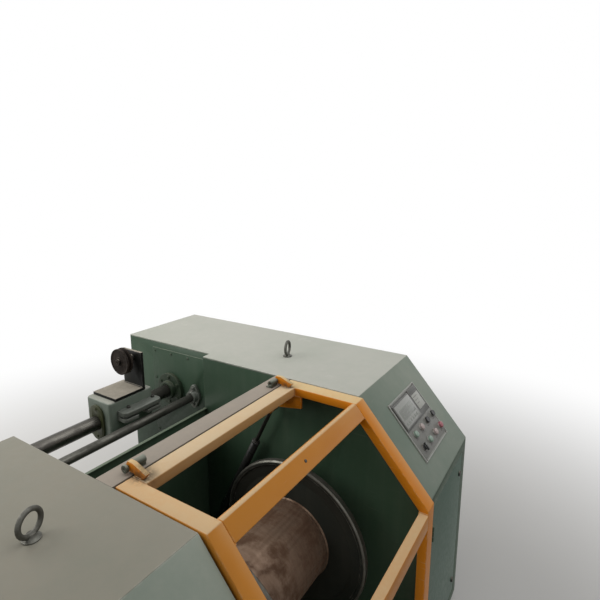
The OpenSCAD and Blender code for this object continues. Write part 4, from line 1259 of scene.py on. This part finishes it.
@dataclass
class WireGuide:
    """The rear wire guide: shafts, carriage, bracket and pulley."""

    shop: Workshop
    thick: tuple[float, float] = (494.5, 918.0)
    thin: tuple[float, float] = (337.5, 918.0)
    bolt_circle: float = 62.0
    bearing_reach: float = 40.0

    def build(self) -> None:
        """Make the shafts, their flanges and the carriage."""
        Maker.dress((
            Skin("guide_shaft", "guide_steel", "polished_steel", "machine", 1.0),
            Skin("guide_flange", "flange_green_painted_shade", "body_paint", "machine", 2.0),
            Skin("traverse_shaft", "dull_steel", "dark_steel", "traverse_shaft", 1.0),
            Skin("traverse_bearing", "lug_steel", "dark_steel", "machine", 1.5),
            Skin("shaft_stand", "body_green", "body_paint", "machine", 1.5),
            Skin("carriage_body", "carriage_green", "face_paint", "carriage", 1.5, crown=9.0),
            Skin("carriage_bushes", "olive", "olive_paint", "carriage", 1.2),
            Skin("pulley_bracket", "bracket_black", "black_paint", "carriage", 1.0),
            Skin("shaft_clamp", "lug_steel", "dark_steel", "carriage", 1.2, crown=2.5)))
        self._pulley()
        self._flange_bolts()
        self._carriage_bolts()

    def _pulley(self) -> None:
        """Turn the grooved pulley and the nut that keeps it on its pin."""
        low, high = box_mm("guide_pulley")
        centre = (low.x, (low.y + high.y) / 2, (low.z + high.z) / 2)
        sheave = [(10.1, 0.6), (19, 0.6), (20.5, 2.2), (46, 2.8), (49, 0.8), (54.5, 0.2), (56, 1.6),
                  (56, 7.6), (55, 8.8), (37.2, 13.2), (36, 14.2), (36, 15.8), (37.2, 16.8), (55, 21.2),
                  (56, 22.4), (56, 28.4), (54.5, 29.8), (49, 29.2), (46, 27.2), (20.5, 27.8), (19, 29.4),
                  (10.1, 29.4)]
        Maker.lathe("guide_pulley_sheave", sheave, [centre], Axis.X.vector, 96, "rust", "rusty_iron",
                    "pulley", ["guide_pulley"])
        cap = [(0, -6.4), (4.2, -6.4), (4.6, -8.6), (10.8, -8.6), (12.6, -7.2), (12.6, -5.6), (0, -5.6)]
        Maker.lathe("pulley_pin_cap", cap, [centre], Axis.X.vector, 32, "rust", "rusty_iron", "carriage")

    def _flange_bolts(self) -> None:
        """Bolt the shaft's flange, the bearing and the stand, and cap the shafts' free ends."""
        wall = box_mm("drive_cover")[0].x
        spots = ring_of((wall - 18, *self.thick), Axis.MINUS_X, self.bolt_circle, 6, 30.0)
        self.shop.bolts("shaft_flange_bolts", spots, 7.5, "machine", "flange_green_painted_shade", "body_paint", tall=0.45)
        spots = [Bolt((wall - 14, self.thin[0], self.thin[1] + up), Axis.MINUS_X, 0.2)
                 for up in (-self.bearing_reach, self.bearing_reach)]
        self.shop.bolts("bearing_bolts", spots, 7.5, "machine", "lug_steel")
        nipple = [(0, 0), (4.5, 0), (4.5, 3), (2.6, 4), (2.6, 7), (3.3, 8), (2.4, 10), (0, 10)]
        Maker.lathe("grease_nipple", nipple, [(wall - 24, self.thin[0], self.thin[1] + 27)],
                    Axis.Z.vector, 16, "zinc", "dark_steel", "machine")
        low, high = box_mm("shaft_stand")
        face = low.y + 10
        spots = [Bolt((x, face, z), Axis.Y, 0.1 * z) for x in (low.x + 13, high.x - 13)
                 for z in (low.z + 22, (low.z + high.z) / 2, high.z - 22)]
        self.shop.bolts("stand_bolts", spots, 9.0, "machine")
        end = box_mm("guide_shaft")[0].x
        cap = [(0, 0), (24, 0), (26, 1.2), (26, 4.5), (25, 5.5), (0, 5.5)]
        Maker.lathe("guide_shaft_cap", cap, [(end, *self.thick)], Axis.MINUS_X.vector, 40, "dark_steel",
                    "dark_steel", "machine")
        self.shop.bolts("shaft_cap_bolt", [Bolt((end - 5.5, *self.thick), Axis.MINUS_X)], 9.0, "machine")
        hole = [(3.5, 0.6), (5.5, -0.3), (17.4, -0.3), (17.8, 0.6)]
        Maker.lathe("traverse_shaft_face", hole, [(end, *self.thin)], Axis.X.vector, 32, "dark_steel",
                    "dark_steel", "traverse_shaft")

    def _carriage_bolts(self) -> None:
        """Screw the oval flanges and the clamp, and weld the bracket's corner."""
        low, high = box_mm("carriage_bushes")
        y, z = self.thick
        spots = [Bolt((x, y, z + up), way, 0.3) for x, way in ((low.x, Axis.MINUS_X), (high.x, Axis.X))
                 for up in (-60, 60)]
        self.shop.bolts("oval_flange_screws", spots, 5.5, "carriage", "olive", "olive_paint", sides=20,
                        washer=1.05, tall=0.35)
        low, high = box_mm("pulley_bracket")
        self.shop.weld("bracket_weld", [[(high.x - 12.5, low.y + 4, low.z + 12.5),
                                         (high.x - 12.5, low.y + 118, low.z + 12.5)]],
                       3.0, "carriage", "bracket_black", "black_paint")
        low, high = box_mm("shaft_clamp")
        screw = [(0, 4.2), (3.6, 4.2), (4.2, 8.0), (6.2, 8.0), (7.2, 7.0), (7.2, 0.6), (8.6, 0.6),
                 (8.6, -0.4), (0, -0.4)]
        spots = [(low.x + 47, high.y - 13, high.z), (high.x - 18, high.y - 13, high.z)]
        Maker.lathe("clamp_screws", screw, spots, Axis.Z.vector, 28, "dark_steel", "dark_steel", "carriage")


@dataclass
class Controls:
    """The control plate with its screen, lamps and knobs, and the lifting eyes and locks."""

    shop: Workshop
    slope: float = 48.8791
    raised: float = 4.05
    eye_turn: float = 15.0
    columns: tuple[float, ...] = (43.0, 110.0, 177.0, 244.0)
    rows: tuple[float, ...] = (144.0, 198.0)

    def build(self) -> None:
        """Make the controls."""
        Maker.dress((Skin("control_plate", "plate_grey", "panel_grey", "machine", 0.8),
                     Skin("display", "screen_case", "display_grey", "machine", 1.6),
                     Skin("door_locks", "black", "black_paint", "machine", 1.4)))
        self._plate()
        self._screen()
        self._buttons()
        self._eyes()
        self._key_slots()

    def at(self, across: float, down: float, height: float) -> Point:
        """A place on the control plate.

        Args:
            across: Distance from its left edge, in millimetres.
            down: Distance from its upper edge.
            height: Distance over its face.

        Returns:
            The place, in millimetres.
        """
        low, high = box_mm("control_plate")
        a = math.radians(self.slope)
        up = self.raised + height
        top_z = high.z - self.raised * math.cos(a)
        return (low.x + across, high.y - down * math.cos(a) - up * math.sin(a),
                top_z - down * math.sin(a) + up * math.cos(a))

    def slab(self, across: tuple[float, float], down: tuple[float, float], height: tuple[float, float],
             edge: float = 0.4) -> Slab:
        """A plate that lies on the control plate.

        Args:
            across: Where it starts and ends from the left edge, in millimetres.
            down: Where it starts and ends from the upper edge.
            height: Its underside and top over the plate's face.
            edge: Its edge radius.

        Returns:
            The plate.
        """
        centre = self.at(sum(across) / 2, sum(down) / 2, sum(height) / 2)
        size = (across[1] - across[0], down[1] - down[0], height[1] - height[0])
        return Slab(centre, size, self.slope, edge)

    def _lay(self, name: str, finish: str, slabs: Sequence[Slab], slot: str = "panel_grey") -> None:
        """Put plates on the control plate.

        Args:
            name: The piece's name.
            finish: Their finish.
            slabs: The plates.
            slot: The record's slot.
        """
        Maker.piece(name, Maker.slabs(name, slabs), finish, slot, "machine")

    def _plate(self) -> None:
        """Frame the plate, lay its dark field and the pale label, and screw its corners."""
        bars = (((0.5, 265.5), (0.5, 4.5)), ((0.5, 265.5), (235.5, 239.5)),
                ((0.5, 4.5), (4.6, 235.4)), ((261.5, 265.5), (4.6, 235.4)))
        self._lay("plate_frame", "frame_white", [self.slab(x, y, (-0.3, 1.6)) for x, y in bars])
        self._lay("plate_field", "field_grey", [self.slab((8, 260), (8, 122), (-0.2, 0.7))])
        self._lay("plate_lower_field", "field_mid", [self.slab((8, 260), (122.4, 231), (-0.2, 0.7))])
        self._lay("plate_label", "label_white", [self.slab((186, 254), (36, 98), (0.4, 1.5))])
        self._lay("plate_label_bars", "legend",
                  [self.slab((194, 232 - 6 * i), (46 + 14 * i, 49 + 14 * i), (1.2, 1.8)) for i in range(3)])
        self._lay("button_labels", "label_grey",
                  [self.slab((x - 15, x + 15), (y + 15.5, y + 20.5), (0.4, 1.2), 0.2)
                   for y in self.rows for x in self.columns])
        self._lay("meter_case", "label_grey", [self.slab((172, 252), (9, 33), (0.4, 5.0), 1.0)])
        self._lay("meter_lens", "field_grey", [self.slab((178, 246), (13, 29), (4.6, 5.4), 0.3)])
        spots = [Bolt(self.at(x, y, 0.6), Axis.SLOPE, 0.2) for x in (13, 253) for y in (4.5, 235.5)]
        self.shop.bolts("plate_screws", spots, 3.4, "machine", sides=16, washer=1.05, tall=0.5)

    def _screen(self) -> None:
        """Set the screen into its case, with a row of keys below it."""
        for name, finish, slabs in (
                ("screen_face", "screen", [self.slab((13, 159), (19, 109), (7.6, 8.7), 0.3)]),
                ("screen_glass", "glass_grey", [self.slab((25, 148), (40, 82), (8.4, 9.0), 0.2)]),
                ("screen_keys", "glass_grey",
                 [self.slab((26 + 21 * i, 40 + 21 * i), (91, 101), (8.5, 9.5), 0.4) for i in range(6)]),
                ("screen_lines", "legend",
                 [self.slab((32, 32 + w), (46 + 9 * i, 48.5 + 9 * i), (8.9, 9.2), 0.1)
                  for i, w in enumerate((70, 96, 54, 84))])):
            self._lay(name, finish, slabs, "display_grey")

    def _buttons(self) -> None:
        """Make the lamps, the knobs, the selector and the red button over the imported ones."""
        collar = [(0, 0), (13.4, 0), (13.4, 2.2), (12.6, 3.2), (11.6, 3.2), (11.6, 2.6), (0, 2.6)]
        lamp = [(0, 2.4), (12.4, 2.4), (12.4, 9), (11.6, 11.4), (8.6, 13.4), (4.3, 14.3), (0, 14.5)]
        push = [(0, 2.4), (12.2, 2.4), (12.2, 10.4), (11.4, 11.4), (0, 11.0)]
        knob = [(0, 2.4), (11.2, 2.4), (11.2, 5.0), (9.8, 6.0), (9.8, 13.2), (8.8, 14.2), (0, 14.2)]
        places = [self.at(x, y, 0.4) for y in self.rows for x in self.columns]
        Maker.lathe("button_collars", collar, places, Axis.SLOPE.vector, 36, "zinc", "button_black",
                    "machine", ["push_buttons"])
        for name, finish, profile, which in (
                ("green_lamps", "lamp_green", lamp, (0, 5)), ("white_lamps", "lamp_white", lamp, (1, 6)),
                ("black_knobs", "knob", push, (2, 3)), ("selector_base", "knob", knob, (4,)),
                ("red_button", "lamp_red", lamp, (7,))):
            Maker.lathe(name, profile, [places[i] for i in which], Axis.SLOPE.vector, 36, finish,
                        "button_black", "machine")
        x, y = self.columns[0], self.rows[1]
        self._lay("selector_grip", "knob", [self.slab((x - 4, x + 4), (y - 15, y + 15), (9, 18), 2.0)],
                  "button_black")
        self._lay("selector_mark", "frame_white",
                  [self.slab((x - 0.8, x + 0.8), (y - 13, y - 4), (17.8, 18.3), 0.1)], "button_black")

    def _eyes(self) -> None:
        """Turn the lifting eyes: a ring, its shoulder and a flange on each top plate."""
        low = box_mm("eyebolts")[0]
        ring = [(28.5 + 6 * math.cos(a), 6 * math.sin(a))
                for a in np.linspace(0, 2 * math.pi, 16, endpoint=False)]
        foot = [(0, 0), (19.4, 0), (20, 0.8), (20, 2.8), (14.5, 4.6), (10.5, 9.5), (9, 14), (0, 14)]
        turn = math.radians(self.eye_turn)
        plane = Vector((math.sin(turn), -math.cos(turn), 0))
        feet = [((one.x + two.x) / 2, (one.y + two.y) / 2, low.z) for one, two in self._islands("eyebolts")]
        tops = [(x, y, z + 38) for x, y, z in feet]
        Maker.lathe("lifting_eye_rings", ring, tops, plane, 48, "eye_steel", "dark_steel", "machine",
                    ["eyebolts"])
        Maker.lathe("lifting_eye_feet", foot, feet, Axis.Z.vector, 32, "eye_steel", "dark_steel", "machine")

    def _key_slots(self) -> None:
        """Cut the look of a key slot into every lock."""
        slots = []
        for low, high in self._islands("door_locks"):
            mid = (low + high) / 2
            flat = min(range(3), key=lambda i, h=high, l=low: h[i] - l[i])
            centre, size = list(mid), [2.6, 2.6, 13.0]
            centre[flat], size[flat] = high[flat] if mid[flat] > 0 else low[flat], 0.8
            slots.append(Slab(tuple(centre), tuple(size), 0.0, 0.2))
        Maker.piece("lock_slots", Maker.slabs("lock_slots", slots), "zinc", "dark_steel", "machine")

    @staticmethod
    def _islands(node: str) -> list[tuple[Vector, Vector]]:
        """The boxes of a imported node's separate solids.

        Args:
            node: The node.

        Returns:
            The lowest and highest corner of each, in millimetres.
        """
        shape = bmesh.new()
        shape.from_mesh(frame["nodes"][node].data)
        bmesh.ops.remove_doubles(shape, verts=shape.verts, dist=2e-6)
        boxes, left = [], set(shape.verts)
        while left:
            stack, island = [left.pop()], []
            while stack:
                vert = stack.pop()
                island.append(vert.co / MM)
                for edge in vert.link_edges:
                    other = edge.other_vert(vert)
                    if other in left:
                        left.remove(other)
                        stack.append(other)
            boxes.append((Vector([min(c[i] for c in island) for i in range(3)]),
                          Vector([max(c[i] for c in island) for i in range(3)])))
        shape.free()
        return boxes


# --------------------------------------------------------------------------------------
# Studio
# --------------------------------------------------------------------------------------
@dataclass
class Studio:
    """Floor, lamps and the camera."""

    camera_at: Point = (-1.075, -1.1645, 1.860)
    heading: float = 32.264
    pitch: float = 11.194
    lens: float = 28.0
    shift_y: float = -0.0291
    sky: float = 0.24
    backdrop: float = 1.0

    def build(self) -> None:
        """Make the studio."""
        self._camera()
        self._floor()
        self._world()
        self._area("window_light", (-1.5, 3.2, 3.4), (0.1, 0.2, 0.9), 3.5, 142.0, (1.0, 0.985, 0.96))
        self._area("roof_light", (0.6, -1.2, 4.5), (0.1, -0.2, 0.6), 4.0, 81.0, (1.0, 1.0, 1.0))
        settings = bpy.context.scene.view_settings
        settings.view_transform = "Standard"

    def _camera(self) -> None:
        """Set the camera at the photograph's place."""
        data = bpy.data.cameras.new("camera")
        data.lens = self.lens
        data.sensor_width = 36.0
        data.shift_y = self.shift_y
        camera = bpy.data.objects.new("camera", data)
        bpy.context.scene.collection.objects.link(camera)
        turn, dip = math.radians(self.heading), math.radians(self.pitch)
        ahead = Vector((math.cos(turn) * math.cos(dip), math.sin(turn) * math.cos(dip), -math.sin(dip)))
        camera.location = self.camera_at
        camera.rotation_euler = ahead.to_track_quat("-Z", "Y").to_euler()
        bpy.context.scene.camera = camera

    def _floor(self) -> None:
        """Lay the floor."""
        shape = bmesh.new()
        bmesh.ops.create_grid(shape, x_segments=8, y_segments=8, size=14.0)
        mesh = Maker.from_bmesh(shape, "floor", None)
        mesh.materials.append(Finishes.get("floor"))
        floor = bpy.data.objects.new("floor", mesh)
        bpy.context.scene.collection.objects.link(floor)

    def _world(self) -> None:
        """Light the scene evenly, with a pale backdrop for the camera and for gloss."""
        world = bpy.data.worlds.new("studio")
        bpy.context.scene.world = world
        world.use_nodes = True
        tree = NodeTree(world.node_tree)
        seen = tree.node("ShaderNodeLightPath", out="Is Camera Ray") \
            .math("MAXIMUM", tree.node("ShaderNodeLightPath", out="Is Glossy Ray")) \
            .math("MAXIMUM", tree.node("ShaderNodeLightPath", out="Is Transmission Ray"))
        strength = self.sky + seen * (self.backdrop - self.sky)
        light = tree.node("ShaderNodeBackground", None, {0: (1.0, 1.0, 1.0, 1.0), 1: strength})
        tree.node("ShaderNodeOutputWorld", None, {0: light})

    @staticmethod
    def _area(name: str, place: Point, target: Point, size: float, power: float, colour: RGB) -> None:
        """Hang a square lamp.

        Args:
            name: The lamp's name.
            place: Where it hangs.
            target: Where it looks.
            size: Its side, in metres.
            power: Its power, in watts.
            colour: Its colour.
        """
        data = bpy.data.lights.new(name, "AREA")
        data.size = size
        data.energy = power
        data.color = colour
        lamp = bpy.data.objects.new(name, data)
        lamp.location = place
        lamp.rotation_euler = (Vector(target) - Vector(place)).to_track_quat("-Z", "Y").to_euler()
        bpy.context.scene.collection.objects.link(lamp)


def main() -> None:
    """Build the studio and dress every sub-assembly."""
    logging.basicConfig(level=logging.INFO, format="%(name)s: %(message)s")
    Studio().build()
    shop = Workshop()
    for assembly in (SheetMetal(shop), Guard(shop), Spool(shop), WireGuide(shop), Controls(shop)):
        assembly.build()
        LOG.info("%s is dressed", type(assembly).__name__)


if __name__ == "__main__":
    main()
